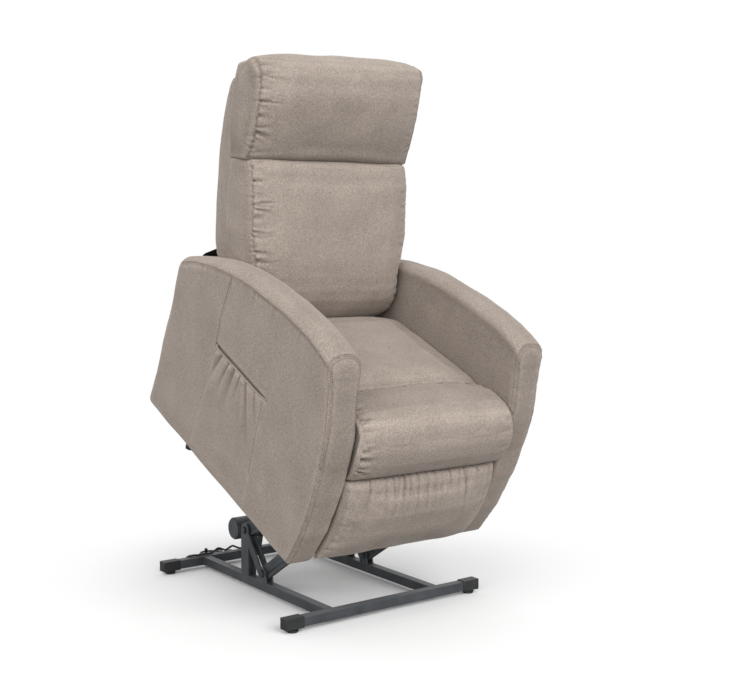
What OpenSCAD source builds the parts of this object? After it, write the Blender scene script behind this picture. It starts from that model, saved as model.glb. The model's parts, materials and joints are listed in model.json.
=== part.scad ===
// Lift recliner chair, drawn raised and tilted forward on its lifting base.
// Origin on the floor under the middle of the chair's overall box, the cable left out.
// +Z up, the sitter faces -Y, millimetres.
// The chair body is laid out in its own seated frame: u forwards and v upwards
// from the rear lower corner of the arms, then lifted and tilted into place.

/* [Base] */
// Length of the front and rear floor tubes, end sleeves included
base_w = 630; // [610:1:660]
// Distance between the centre lines of the front and rear floor tubes
base_d = 667; // [660:1:680]
// Outside of the square base tube
tube = 25; // [22:0.5:27]
// Wall of the square base tube
tube_wall = 2; // [1.5:0.5:3]
// Height of the underside of the base tubes above the floor
base_lift = 11; // [9:1:13]
// Diameter of the round glide feet
foot_d = 30; // [26:1:36]

/* [Lift] */
// Width of the upper lift arms and lower links
link_w = 40; // [34:1:40]
// Diameter of the pivot bolts
bolt_d = 12; // [10:1:14]
// Diameter of the motor can
motor_d = 66; // [56:1:70]
// Diameter of the drive's outer tube
drive_tube_d = 38; // [34:1:40]
// Diameter of the drive's rod
rod_d = 20; // [16:1:22]

/* [Chair] */
// Width between the arms at the seat
seat_w = 480; // [440:1:520]
// Thickness of an arm at its lower edge
arm_t = 76; // [70:1:84]
// Crown of the seat cushion at its middle
seat_crown = 8; // [4:1:12]
// Crown of the back cushion ahead of its side seams, as a share of full
back_crown = 1; // [0.8:0.05:1.1]
// Thickness of the boards of the seat box
board_t = 22; // [18:1:22]
// Swell of the pocket's mouth away from the arm
pocket_swell = 5.5; // [3:0.5:8]

/* [Cable] */
// Diameter of the cable on the rear tube
cable_d = 6; // [5:0.5:6.5]

/* [Hidden] */
$fn = 48;
steel = "#43474a";
black = "#1b1c1e";
wood = "#b58d5d";
cloth = "#9c9188";
web = "#3a3a3c";
// running clearance on the radius of a pivot
run = 0.05;
// middle of the base behind the origin
base_y = 79.5;
front_y = base_y - base_d / 2;
rear_y = base_y + base_d / 2;
// raised place of the rear lower corner of the arms, and the forward tilt
seat_y = base_y + 417;
seat_z = 507;
tilt = 23.64;
// widths that follow the seat: boards, chassis, lift brackets, base rails and footrest links
box_out = seat_w / 2 - 12;
box_in = box_out - board_t;
chassis_out = box_out;
chassis_in = chassis_out - 25;
bracket_in = chassis_in - 23;
bracket_out = bracket_in + 5;
rail_x = bracket_in - 9;
foot_x = chassis_in - 63;
stile_out = box_in - 11;
stile_in = stile_out - 30;
frame_top = 582;
// base heights and the side rails
tube_top = base_lift + tube;
cap_len = 54;
cap_wall = 3;
cap_skin = 2;
// pivot stands: two plates on each rail
plate_t = 4;
stand_out = rail_x + 12.5;
stand_in = rail_x - 12.5;
post_pivot = [base_y + 78, 163];
low_pivot = [base_y - 17, 60];
bolt_r = bolt_d / 2;
head_t = 6;
// lift arm and lower link planes
link_in = rail_x - 4;
link_out = rail_x + 4;
boss_r = 12;
// pivots on the chair body in its own frame
arm_pin = [662.4, 60];
low_pin = [751.3, 20];
low_pin_play = 6.7;
drive_pin = [540, 100];
drive_pin_r = 5;
drive_pin_play = 9.4;
torsion_r = 14;
torsion_back = 50;
// drive pivot on the rear tube
drive_foot = [rear_y - 15.5, 88];
motor_a = 33;
motor_p = 9;
motor_end = -97;
gear_x = 22;
// chassis
chassis_lo = 120;
chassis_hi = 160;
box_rear = 120;
box_front = 820;
box_top = 300;
web_t = 3;
web_step = 0.29 * box_in;
// arms
arm_in = seat_w / 2;
arm_out = arm_in + arm_t;
arm_flare_in = 10;
arm_flare_out = 20;
arm_h = 598;
arm_cut = 0.983;
// side outline of an arm: top edge by u, front edge by v
arm_top = [[50, 481], [57, 485], [80, 500], [140, 527], [245, 558], [350, 580], [424, 591], [530, 597],
    [641, 598], [720, 594], [766, 587], [805, 577], [830, 566]];
arm_front = [[0, 836], [40, 851], [86, 864], [150, 876], [200, 882], [300, 885], [400, 879], [470, 862],
    [520, 846], [560, 830], [600, 812]];
arm_rear_slope = 56.5 / 472;
arm_stations = [[0, 12], [0.006, 4], [0.02, 0], [0.07, 0], [0.12, 0], [0.25, 0], [0.4, 0], [0.55, 0],
    [0.7, 0], [0.82, 0], [0.9, 0], [0.95, 0], [arm_cut, 0]];
facing_stations = [[arm_cut, 0], [0.992, 0], [0.998, 4], [1, 12]];
arm_round = 26;
arm_foot = 6;
// back: its own frame leans back in the seated frame, n forwards and w upwards
back_o = [250, 440];
lean = 15;
hinge = [255, 310];
back_plane = -57;
shell_lo = 95;
back_half = seat_w / 2 + 20;
shell_half = seat_w / 2 + 13;
pillow_half = seat_w / 2 + 20;
// footrest linkage in the seated frame
foot_a = [755, 215];
foot_len = 170;
foot_dir = -117.8;
foot_mid = foot_a + foot_len * [cos(foot_dir), sin(foot_dir)];
foot_pin = [803, 150];
coupler = foot_pin - foot_mid;
coupler_dir = atan2(coupler[1], coupler[0]);
link_gap = 45;
foot_b = foot_a + link_gap * [cos(coupler_dir), sin(coupler_dir)];
foot_b_mid = foot_mid + link_gap * [cos(coupler_dir), sin(coupler_dir)];
foot_b_end = foot_b_mid + 30 * [cos(foot_dir), sin(foot_dir)];
foot_pin_2 = foot_pin + 40 * [cos(coupler_dir - 130), sin(coupler_dir - 130)];
foot_w = 20;
stud_r = 4;
tilt_play = 5.5;
foot_t = 4;
board_u = 823;
board_f = 838;
pad_half = seat_w / 2 - 4;
// cable
cable_r = cable_d / 2;
cable_sides = 10;
coil_r = 33;
coil_turns = 3.5;
coil_steps = 38;
coil_pitch = cable_d + 0.8;
coil_c = [-120, base_y + 392];

// place of a point of the seated frame in the raised chair, as [y, z]
function raised(p) = [seat_y - p[0] * cos(tilt) - p[1] * sin(tilt),
    seat_z - p[0] * sin(tilt) + p[1] * cos(tilt)];
// a point of the seated frame in the back's own frame
function in_back_frame(p) = [cos(lean) * (p[0] - back_o[0]) + sin(lean) * (p[1] - back_o[1]),
    -sin(lean) * (p[0] - back_o[0]) + cos(lean) * (p[1] - back_o[1])];
function mix(a, b, t) = a + (b - a) * t;
function unit(v) = v / norm(v);

arm_pin_w = raised(arm_pin);
low_pin_w = raised(low_pin);
drive_pin_w = raised(drive_pin);
torsion_w = arm_pin_w + torsion_back * unit(post_pivot - arm_pin_w);
drive_len = norm(drive_pin_w - drive_foot);
drive_dir = atan2(drive_pin_w[1] - drive_foot[1], drive_foot[0] - drive_pin_w[0]);
hinge_b = in_back_frame(hinge);

module chair() {
    translate([0, seat_y, seat_z]) rotate([tilt, 0, 0]) children();
}

module back() {
    chair() translate([0, -back_o[0], back_o[1]]) rotate([-lean, 0, 0]) children();
}

module drive() {
    translate([0, drive_foot[0], drive_foot[1]]) rotate([-drive_dir, 0, 0]) children();
}

// flat shape in the y z plane, drawn out along x
module slab(x0, x1) {
    translate([x0, 0, 0]) rotate([90, 0, 90]) linear_extrude(x1 - x0) children();
}

// flat shape given as forwards and upwards, drawn out along x
module side_slab(x0, x1) {
    slab(x0, x1) mirror([1, 0]) children();
}

module both_sides() {
    children();
    mirror([1, 0, 0]) children();
}

// box given by its x, forward and upward limits
module side_box(x0, x1, u0, u1, v0, v1) {
    translate([x0, -u1, v0]) cube([x1 - x0, u1 - u0, v1 - v0]);
}

// bar with round ends between two points
module bar(p, q, w) {
    d = q - p;
    translate(p) rotate(atan2(d[1], d[0])) {
        translate([0, -w / 2]) square([norm(d), w]);
        circle(d = w);
        translate([norm(d), 0]) circle(d = w);
    }
}

module spot(p, r) {
    translate(p) circle(r);
}

// round bar along x at a point given as y and z
module rod_x(x0, x1, p, r) {
    translate([x0, p[0], p[1]]) rotate([0, 90, 0]) cylinder(r = r, h = x1 - x0);
}

module hex_x(x0, x1, p, r) {
    translate([x0, p[0], p[1]]) rotate([0, 90, 0]) cylinder(r = r, h = x1 - x0, $fn = 6);
}

// square tube along x
module tube_x(len, w, wall) {
    difference() {
        cube([len, w, w], center = true);
        cube([len + 2, w - 2 * wall, w - 2 * wall], center = true);
    }
}

// closed solid through rings of points; a ring runs up one side and down the other
module loft(rings) {
    n = len(rings[0]);
    m = len(rings);
    last = (m - 1) * n;
    walls = [for (i = [0:m - 2]) for (j = [0:n - 1]) each [
        [i * n + j, (i + 1) * n + j, (i + 1) * n + (j + 1) % n],
        [i * n + j, (i + 1) * n + (j + 1) % n, i * n + (j + 1) % n]]];
    start = [for (j = [0:n / 2 - 2]) each [[j, j + 1, n - 2 - j], [j, n - 2 - j, n - 1 - j]]];
    finish = [for (j = [0:n / 2 - 2]) each [
        [last + j, last + n - 2 - j, last + j + 1], [last + j, last + n - 1 - j, last + n - 2 - j]]];
    polyhedron([for (r = rings) each r], concat(walls, start, finish), convexity = 8);
}

// Base

module front_tube() {
    color(steel) translate([0, front_y, base_lift + tube / 2]) tube_x(base_w - 2 * cap_wall, tube, tube_wall);
}

module rear_tube() {
    color(steel) translate([0, rear_y, base_lift + tube / 2]) tube_x(base_w - 2 * cap_wall, tube, tube_wall);
}

module rail(side) {
    color(steel) translate([side * rail_x, base_y, base_lift + tube / 2]) rotate([0, 0, 90])
        tube_x(base_d - tube, tube, tube_wall);
}

module rail_right() {
    rail(-1);
}

module rail_left() {
    rail(1);
}

module tube_sleeves() {
    color(black) for (sx = [-1, 1], y = [front_y, rear_y])
        translate([sx * (base_w - cap_len) / 2, y, base_lift + tube / 2]) difference() {
            cube([cap_len, tube + 2 * cap_skin, tube + 2 * cap_skin], center = true);
            translate([-sx * cap_wall, 0, 0]) cube([cap_len, tube, tube], center = true);
        }
}

module glide_feet() {
    color(black) for (sx = [-1, 1], y = [front_y, rear_y])
        translate([sx * (base_w - cap_len) / 2, y, 0]) {
            cylinder(d1 = foot_d - 4, d2 = foot_d, h = 2);
            translate([0, 0, 2]) cylinder(d = foot_d, h = 4);
            translate([0, 0, 6]) cylinder(d = foot_d / 2, h = base_lift - cap_skin - 6);
        }
}

module stand_plate() {
    difference() {
        union() {
            translate([post_pivot[0] - link_w / 2, tube_top]) square([link_w, post_pivot[1] - tube_top]);
            spot(post_pivot, link_w / 2);
            bar(post_pivot + [-8, -12], [low_pivot[0] - 6, tube_top], 24);
            translate([low_pivot[0] - 16, tube_top]) square([32, low_pivot[1] - tube_top]);
            spot(low_pivot, 16);
        }
        translate([low_pivot[0] - 100, tube_top - 60]) square([300, 60]);
        spot(post_pivot, bolt_r + run);
        spot(low_pivot, bolt_r + run);
    }
}

module stand() {
    color(steel) {
        slab(stand_out - plate_t, stand_out) stand_plate();
        slab(stand_in, stand_in + plate_t) stand_plate();
    }
}

module stand_right() {
    mirror([1, 0, 0]) stand();
}

module stand_left() {
    stand();
}

module stand_bolts() {
    color(black) both_sides() for (p = [post_pivot, low_pivot]) {
        rod_x(stand_in - head_t, stand_out + head_t, p, bolt_r);
        hex_x(stand_out, stand_out + head_t, p, bolt_r + 4);
        hex_x(stand_in - head_t, stand_in, p, bolt_r + 4);
    }
}

module drive_bracket() {
    color(steel) both_sides() slab(13, 17) difference() {
        union() {
            spot(drive_foot, 14);
            polygon([[rear_y - tube / 2, tube_top], [rear_y + tube / 2, tube_top],
                drive_foot + [13.5, 0], drive_foot + [-13.5, -4], drive_foot + [-8, -12]]);
        }
        spot(drive_foot, bolt_r + run);
    }
}

module drive_foot_pin() {
    color(black) {
        rod_x(-22, 22, drive_foot, bolt_r);
        both_sides() hex_x(17, 22, drive_foot, bolt_r + 3);
    }
}

// Cable: out of the gearbox, over the rear tube in two standing loops, along the tube and down to a coil

cable_route = [[-30, 300, 68], [-34, 310, 54], [-42, 322, 44.5], [-54, 332, 41], [-64, 337, 45], [-76, 339, 49.5],
    [-88, 338.5, 45.5], [-100, 338, 41], [-112, 338.5, 45.5], [-124, 339, 49.5], [-136, 338, 45],
    [-147, 337, 40.2], [-160, 336, 39.6], [-180, 336, 39.6], [-196, 337, 39.6], [-210, 341, 40],
    [-221, 350, 36], [-226, 358, 26], [-222, 364, 15], [-209, 368.5, 7.5], [-191, 372, 4], [-172, 380, 3.2]];
coil_path = [for (i = [0:coil_steps]) let (a = 180 + i * 360 * coil_turns / coil_steps)
    [coil_c[0] + coil_r * cos(a), coil_c[1] + coil_r * sin(a),
        cable_r + 0.2 + coil_pitch * coil_turns * i / coil_steps]];
cable_tail = [[coil_c[0] + 34, coil_c[1] + 14, cable_r + coil_pitch * coil_turns],
    [coil_c[0] + 38, coil_c[1] + 28, 20], [coil_c[0] + 48, coil_c[1] + 34, 10],
    [coil_c[0] + 62, coil_c[1] + 34, 7]];
cable_path = concat([for (p = cable_route) p + [0, base_y, 0]], coil_path, cable_tail);
cable_end = cable_path[len(cable_path) - 1];

function tangent(p, i) = unit(p[min(i + 1, len(p) - 1)] - p[max(i - 1, 0)]);
function square_to(v, t) = unit(v - t * (v * t));
// side vectors carried along the path without twist
function carried(p, i, v) = i >= len(p) ? [] :
    let (s = square_to(v, tangent(p, i))) concat([s], carried(p, i + 1, s));
// least clear distance between strands of a path that aren't neighbours along it
function strand_gap(p, skip) = min([for (i = [0:len(p) - 1 - skip]) for (j = [i + skip:len(p) - 1])
    norm(p[i] - p[j])]) - cable_d;

module cable() {
    sides = carried(cable_path, 0, [0, 0, 1]);
    n = cable_sides;
    m = len(cable_path);
    rings = [for (i = [0:m - 1]) let (s = sides[i], t = cross(tangent(cable_path, i), s)) for (k = [0:n - 1])
        cable_path[i] + cable_r * (s * cos(k * 360 / n) + t * sin(k * 360 / n))];
    walls = [for (i = [0:m - 2]) for (j = [0:n - 1]) each [
        [i * n + j, (i + 1) * n + (j + 1) % n, (i + 1) * n + j],
        [i * n + j, i * n + (j + 1) % n, (i + 1) * n + (j + 1) % n]]];
    ends = [[for (k = [n - 1:-1:0]) k], [for (k = [0:n - 1]) (m - 1) * n + k]];
    echo(least_strand_gap = strand_gap(cable_path, 6));
    color(black) polyhedron(rings, concat(walls, ends), convexity = 12);
}

module cable_tie() {
    h = coil_pitch * coil_turns + cable_d + 1;
    w = cable_d + 2;
    color(black) translate([coil_c[0], coil_c[1] + coil_r, h / 2 + 0.1]) difference() {
        cube([5, w + 2.4, h], center = true);
        cube([7, w, h - 2.4], center = true);
    }
}

module cable_plug() {
    color(black) translate(cable_end) {
        rotate([0, 90, 0]) cylinder(r = 5, h = 8);
        translate([8, -7, -6.5]) cube([22, 14, 13]);
        for (dy = [-3.5, 3.5])
            translate([30, dy, 0]) rotate([0, 90, 0]) cylinder(r = 1.5, h = 9);
    }
}

// Lift linkage

module lift_arm() {
    difference() {
        union() {
            slab(link_in, link_out) bar(post_pivot, arm_pin_w, link_w);
            slab(stand_in + plate_t + 0.5, stand_out - plate_t - 0.5) spot(post_pivot, boss_r);
            slab(bracket_in - 17, bracket_in - 0.5) spot(arm_pin_w, boss_r);
        }
        slab(stand_in, stand_out) {
            spot(post_pivot, bolt_r + run);
            spot(arm_pin_w, bolt_r + run);
        }
    }
}

module lift_arm_right() {
    color(steel) mirror([1, 0, 0]) lift_arm();
}

module lift_arm_left() {
    color(steel) lift_arm();
}

module torsion_tube() {
    color(steel) difference() {
        rod_x(-link_in, link_in, torsion_w, torsion_r);
        rod_x(-link_in - 1, link_in + 1, torsion_w, torsion_r - 2.5);
    }
}

module lower_link() {
    difference() {
        union() {
            slab(link_in, link_out) bar(low_pivot, low_pin_w, link_w);
            slab(stand_in + plate_t + 0.5, stand_out - plate_t - 0.5) spot(low_pivot, boss_r);
        }
        slab(stand_in, stand_out) {
            spot(low_pivot, bolt_r + run);
            spot(low_pin_w, bolt_r + low_pin_play);
        }
    }
}

module lower_link_right() {
    color(steel) mirror([1, 0, 0]) lower_link();
}

module lower_link_left() {
    color(steel) lower_link();
}

// Drive

module gearbox() {
    color(black) drive() difference() {
        union() {
            side_slab(-gear_x, gear_x) translate([15, -drive_tube_d / 2 - 3]) square([59, drive_tube_d + 16]);
            side_slab(-12.5, 12.5) bar([0, 0], [22, 0], 26);
        }
        rod_x(-30, 30, [0, 0], bolt_r + run);
    }
}

module motor_can() {
    color("#4a4e52") drive() {
        rod_x(motor_end + 4, -gear_x, [-motor_a, motor_p], motor_d / 2);
        rod_x(motor_end, motor_end + 4, [-motor_a, motor_p], motor_d / 2 - 3);
    }
}

module drive_tube() {
    color(black) drive() rotate([90, 0, 0]) difference() {
        union() {
            translate([0, 0, 74]) cylinder(d = drive_tube_d, h = 280);
            translate([0, 0, 354]) cylinder(d = drive_tube_d + 4, h = 14);
        }
        translate([0, 0, 80]) cylinder(d = rod_d + 6, h = 272);
        translate([0, 0, 340]) cylinder(r = rod_d / 2 + run, h = 40);
    }
}

module drive_rod() {
    color("#b9bcc0") drive() rotate([90, 0, 0]) translate([0, 0, 240])
        cylinder(d = rod_d, h = drive_len - 64 - 240);
}

module rod_fork() {
    color(steel) drive() {
        side_slab(-14, 14) translate([drive_len - 64, -13]) square([22, 26]);
        both_sides() side_slab(9, 14) bar([drive_len - 50, 0], [drive_len, 0], 26);
        rod_x(-17, 17, [-drive_len, 0], drive_pin_r);
        both_sides() rod_x(14, 17, [-drive_len, 0], drive_pin_r + 3);
    }
}

// Chair body

module chassis_rail() {
    color(steel) chair() difference() {
        side_box(chassis_in, chassis_out, 110, 800, chassis_lo, chassis_hi);
        side_box(chassis_in + 2, chassis_out - 2, 109, 801, chassis_lo + 2, chassis_hi - 2);
    }
}

module chassis_rail_right() {
    mirror([1, 0, 0]) chassis_rail();
}

module chassis_rail_left() {
    chassis_rail();
}

module drive_cross_tube() {
    color(steel) chair() {
        translate([0, -drive_pin[0], 147.5]) tube_x(2 * chassis_in, 25, 2);
        side_slab(-5, 5) difference() {
            bar([drive_pin[0], 124], drive_pin, 48);
            translate([drive_pin[0] - 30, 135]) square([60, 20]);
            spot(drive_pin, drive_pin_r + drive_pin_play);
        }
    }
}

module front_cross_tube() {
    color(steel) chair() {
        translate([0, -734.5, 252.5]) tube_x(2 * box_in, 25, 2);
        both_sides() side_slab(foot_x + 5, foot_x + 10) difference() {
            polygon([[724, 240], [747, 240], [747, 252], [foot_b[0] + 9, foot_b[1] + 10], foot_b + [12, -6],
                foot_a + [6, -14], foot_a + [-12, -10], [724, 236]]);
            spot(foot_a, stud_r);
            spot(foot_b, stud_r);
        }
    }
}

module rear_cross_tube() {
    color(steel) chair() translate([0, -125, 147.5]) tube_x(2 * chassis_in, 25, 2);
}

module lift_bracket() {
    chair() {
        side_slab(bracket_in, bracket_out) difference() {
            union() {
                translate([arm_pin[0] - 20, 50]) square([low_pin[0] - arm_pin[0] + 40, chassis_lo - 50]);
                bar([arm_pin[0], 90], arm_pin, 40);
                bar([low_pin[0], 90], low_pin, 40);
            }
            spot(arm_pin, bolt_r + run);
            spot(low_pin, bolt_r + run);
        }
        side_box(bracket_in, chassis_out, arm_pin[0] - 20, low_pin[0] + 20, chassis_lo - 5, chassis_lo);
    }
}

module lift_bracket_right() {
    color(steel) mirror([1, 0, 0]) lift_bracket();
}

module lift_bracket_left() {
    color(steel) lift_bracket();
}

module bracket_bolts() {
    color(black) both_sides() for (p = [arm_pin_w, low_pin_w]) {
        rod_x(bracket_in - 24, bracket_out + head_t, p, bolt_r);
        hex_x(bracket_out, bracket_out + head_t, p, bolt_r + 4);
        hex_x(bracket_in - 24, bracket_in - 24 + head_t, p, bolt_r + 4);
    }
}

module seat_box() {
    color(wood) chair() {
        both_sides() side_box(box_in, box_out, box_rear, box_front, chassis_hi, box_top);
        side_box(-box_in, box_in, box_front - 20, box_front, 258, box_top);
        side_box(-box_in, box_in, box_rear, box_rear + 20, chassis_hi, box_top);
    }
}

module seat_webbing() {
    color(web) chair() for (k = [-2.5:1:2.5])
        side_box(k * web_step - 22, k * web_step + 22, box_rear, box_front - 4, box_top, box_top + web_t);
}

module arm_board() {
    color(wood) chair() side_box(box_out, arm_in - 0.1, 60, 815, 20, 298);
}

module arm_board_right() {
    mirror([1, 0, 0]) arm_board();
}

module arm_board_left() {
    arm_board();
}

// inner and outer faces of an arm at height v
function arm_face_in(v) = arm_in + arm_flare_in * max(0, v - box_top) / (arm_h - box_top);
function arm_face_out(v) = arm_out + arm_flare_out * v / arm_h;
// one ring of an arm: station along it, drawn in by g
function arm_ring(s, g) =
    let (top = lookup(mix(57, 830, s), arm_top) - g, r = arm_round, lo = g, f = arm_foot,
        ci = arm_face_in(top - r) + g + r, co = arm_face_out(top - r) - g - r)
    [for (p = [
        [arm_face_in(lo) + g + f, lo], [arm_face_in(lo + f) + g, lo + f], [arm_face_in(110) + g, 110],
        [arm_face_in(220) + g, 220], [arm_face_in(320) + g, 320], [arm_face_in(400) + g, 400],
        [ci - r, top - r], [ci - r * cos(35), top - r + r * sin(35)],
        [ci - r * cos(65), top - r + r * sin(65)], [ci, top],
        [co, top], [co + r * cos(65), top - r + r * sin(65)], [co + r * cos(35), top - r + r * sin(35)],
        [co + r, top - r], [arm_face_out(400) - g, 400], [arm_face_out(320) - g, 320],
        [arm_face_out(220) - g, 220], [arm_face_out(110) - g, 110], [arm_face_out(lo + f) - g, lo + f],
        [arm_face_out(lo) - g - f, lo]])
    [p[0], -mix(arm_rear_slope * p[1], lookup(p[1], arm_front), s), p[1]]];

module arm_left() {
    color(cloth) chair() loft([for (i = arm_stations) arm_ring(i[0], i[1])]);
}

module arm_right() {
    color(cloth) mirror([1, 0, 0]) chair() loft([for (i = arm_stations) arm_ring(i[0], i[1])]);
}

module facing_left() {
    color(cloth) chair() loft([for (i = facing_stations) arm_ring(i[0], i[1])]);
}

module facing_right() {
    color(cloth) mirror([1, 0, 0]) chair() loft([for (i = facing_stations) arm_ring(i[0], i[1])]);
}

// pocket on the right arm: a gathered panel, open along its upper edge
pocket_u = [336, 612];
pocket_foot = 270;
function pocket_along(t, h) = mix(mix(pocket_foot, pocket_u[0], h), pocket_u[1], t);
function pocket_thick(t, h) = 2 + pocket_swell * sin(180 * t) * h * h;

module side_pocket() {
    steps = 10;
    levels = [0.03, 0.3, 0.55, 0.8, 1];
    gap = 0.4;
    rings = [for (i = [0:steps]) let (t = i / steps, top = mix(352, 338, t)) concat(
        [for (h = levels) [arm_face_out(h * top) + gap, -pocket_along(t, h), h * top]],
        [for (k = [len(levels) - 1:-1:0]) let (h = levels[k])
            [arm_face_out(h * top) + gap + pocket_thick(t, h), -pocket_along(t, h), h * top]])];
    color(cloth) mirror([1, 0, 0]) chair() loft(rings);
}

module arm_glides() {
    color(black) chair() both_sides() translate([arm_in + 50, -250, -18]) cylinder(r = 14, h = 18);
}

module hinge_plates() {
    color(steel) chair() both_sides() side_slab(box_in - 5, box_in) difference() {
        bar([hinge[0], 215], hinge, 44);
        spot(hinge, bolt_r + run);
    }
}

module hinge_pins() {
    color(black) chair() both_sides() {
        rod_x(stile_out - 6, box_in, [-hinge[0], hinge[1]], bolt_r);
        rod_x(stile_out - 6, stile_out - 1, [-hinge[0], hinge[1]], bolt_r + 4);
    }
}

module foot_pivot_pins() {
    color(steel) chair() both_sides() for (p = [foot_a, foot_b]) {
        rod_x(foot_x - 3, foot_x + 13, [-p[0], p[1]], stud_r);
        rod_x(foot_x - 3, foot_x - 1, [-p[0], p[1]], stud_r + 3);
        rod_x(foot_x + 10, foot_x + 13, [-p[0], p[1]], stud_r + 3);
    }
}

// Cushions

// lower and upper edges of the seat cushion's side view, rear to front
seat_lo = concat([for (k = [0:11]) [mix(292, 826, k / 11), 303]],
    [[827, 296], [828, 287], [829, 275], [838, 264], [850, 262], [866, 262], [884, 266]]);
seat_hi = [[290, 330], [294, 370], [302, 388], [314, 404], [332, 418], [356, 425], [400, 428], [520, 429],
    [640, 428], [712, 427], [731, 418], [752, 429], [800, 434], [853, 431], [884, 416], [903, 392], [914, 352],
    [912, 315], [902, 286]];
seat_n = len(seat_hi);
seat_x = [-1, -0.985, -0.94, -0.85, -0.7, -0.5, -0.25, 0, 0.25, 0.5, 0.7, 0.85, 0.94, 0.985, 1];
// how far a side is drawn in, none at the middle and full at the end
function drawn(t) = pow(abs(t), 14);

module seat_cushion() {
    half = arm_in - 2;
    rings = [for (t = seat_x) let (e = 0.3 * drawn(t), up = seat_crown * (1 - t * t)) concat(
        [for (p = seat_lo) [half * t, -mix(p[0], min(p[0], 850), e), p[1]]],
        [for (k = [seat_n - 1:-1:0]) let (p = seat_hi[k]) [half * t, -mix(p[0], min(max(p[0], 370), 840), e),
            mix(p[1], 335, e) + up * max(0, min(1, (p[1] - 330) / 80))]])];
    color(cloth) chair() loft(rings);
}

// front of the footrest pad by height
foot_front = [[14, 856], [37, 869], [65, 884], [110, 899], [165, 908], [215, 906], [245, 899], [256, 886]];

module foot_pad() {
    m = len(foot_front);
    rings = [for (t = seat_x) let (e = 0.55 * drawn(t), sag = 1 - 0.06 * t * t) concat(
        [for (p = foot_front) [pad_half * t, -board_f, p[0]]],
        [for (k = [m - 1:-1:0]) let (p = foot_front[k])
            [pad_half * t, -mix(board_f + (p[1] - board_f) * sag, board_f + 4, e), p[0]]])];
    color(cloth) chair() loft(rings);
}

// back cushion and head pillow: front at the middle and at the side seams, by height
back_mid = [[-60, 8], [-52, 32], [-38, 50], [-16, 70], [12, 90], [44, 105], [84, 112], [136, 110],
    [200, 103], [268, 95], [330, 86], [368, 76], [383, 66], [387, 48]];
back_seam = [[-60, -14], [-38, 20], [-16, 42], [12, 58], [44, 70], [84, 80], [130, 84], [205, 79],
    [275, 72], [353, 60], [387, 40]];
pillow_mid = [[389, 48], [394, 72], [406, 84], [428, 88], [474, 92], [518, 98], [574, 106], [620, 108],
    [644, 97], [657, 70], [663, 32], [661, -10], [651, -42]];
pillow_seam = [[389, 40], [423, 56], [440, 64], [507, 73], [560, 77], [603, 76], [636, 62], [663, 18]];

// half width of a back piece at height w, narrower low down between the arms
function half_at(half, w) = let (f = max(0, min(1, (w - 105) / 80)))
    mix(seat_w / 2 + 1.5 - 0.025 * max(0, 50 - w), half, f * f * (3 - 2 * f));
// one ring of a back cushion: flat at the rear from height lo up, crowned at the front
function cushion_ring(t, half, mid, seam, lo) =
    let (c = 1 - pow(abs(t), 5), m = len(mid), drop = 7 * pow(abs(t), 12), span = mid[m - 1][0] - mid[0][0])
    concat([for (k = [0:m - 1]) let (w = mix(lo, mid[m - 1][0] - drop, k / (m - 1)))
            [half_at(half, w) * t, -back_plane, w]],
        [for (k = [m - 1:-1:0]) let (p = mid[k], s = lookup(p[0], seam))
            [half_at(half, p[0]) * t, -max(back_plane + 3, mix(min(s, p[1]), mix(s, p[1], back_crown), c)),
                p[0] - drop * (p[0] - mid[0][0]) / span]]);

module back_cushion() {
    color(cloth) back() loft([for (t = seat_x) cushion_ring(t, back_half, back_mid, back_seam, -30)]);
}

module head_pillow() {
    color(cloth) back() loft([for (t = seat_x) cushion_ring(t, pillow_half, pillow_mid, pillow_seam, 389)]);
}

// rear of the back shell by height
shell_rear = [[shell_lo, -158], [110, -166], [140, -169], [250, -168], [364, -165], [440, -158],
    [490, -150], [545, -133], [580, -113], [599, -88], [606, -66]];
shell_x = [-1, -0.99, -0.96, -0.9, -0.8, -0.5, 0, 0.5, 0.8, 0.9, 0.96, 0.99, 1];
function shell_round(t) = sqrt(max(0, 1 - pow(max(0, abs(t) - 0.82) / 0.18, 2)));

module back_shell() {
    m = len(shell_rear);
    rings = [for (t = shell_x) concat(
        [for (p = shell_rear)
            [half_at(shell_half, p[0]) * t, -mix(back_plane - 24, p[1], 0.35 + 0.65 * shell_round(t)), p[0]]],
        [for (k = [m - 1:-1:0]) let (w = shell_rear[k][0]) [half_at(shell_half, w) * t, -back_plane, w]])];
    color(cloth) back() difference() {
        loft(rings);
        side_box(-stile_out - 14, stile_out + 14, -92, 0, 0, frame_top + 6);
    }
}

module back_frame() {
    color(wood) back() {
        both_sides() side_box(stile_in, stile_out, -88, -60, -30, frame_top);
        for (w = [-30, 300, frame_top - 35])
            side_box(-stile_in, stile_in, -88, -60, w, w + 35);
    }
}

module back_webbing() {
    color(web) back() for (w = [40:70:560])
        side_box(-stile_out, stile_out, -60, back_plane, w, w + 40);
}

module hinge_brackets() {
    color(steel) back() both_sides() side_slab(stile_out, box_in - 5.5) difference() {
        union() {
            bar(hinge_b, [-77, -48], 28);
            bar([-77, -48], [-77, 180], 24);
        }
        spot(hinge_b, bolt_r + run);
    }
}

module rear_skirt() {
    color(black) chair() side_slab(25 - arm_in, arm_in - 25) {
        bar([56.2, 511.4], [-20, 456], 3);
        bar([-20, 456], [-33, 405], 3);
        bar([-33, 405], [-22, 345], 3);
    }
}

// Footrest

module foot_links_rear() {
    color(steel) chair() {
        both_sides() {
            side_slab(foot_x, foot_x + foot_t) difference() {
                bar(foot_a, foot_mid, foot_w);
                spot(foot_a, stud_r + run);
            }
            rod_x(foot_x + foot_t, foot_x + 12, [-foot_mid[0], foot_mid[1]], stud_r);
            rod_x(foot_x + 10, foot_x + 12, [-foot_mid[0], foot_mid[1]], stud_r + 3);
        }
        rod_x(-foot_x, foot_x, [-(foot_a[0] + foot_mid[0]) / 2, (foot_a[1] + foot_mid[1]) / 2], 8);
    }
}

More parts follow.
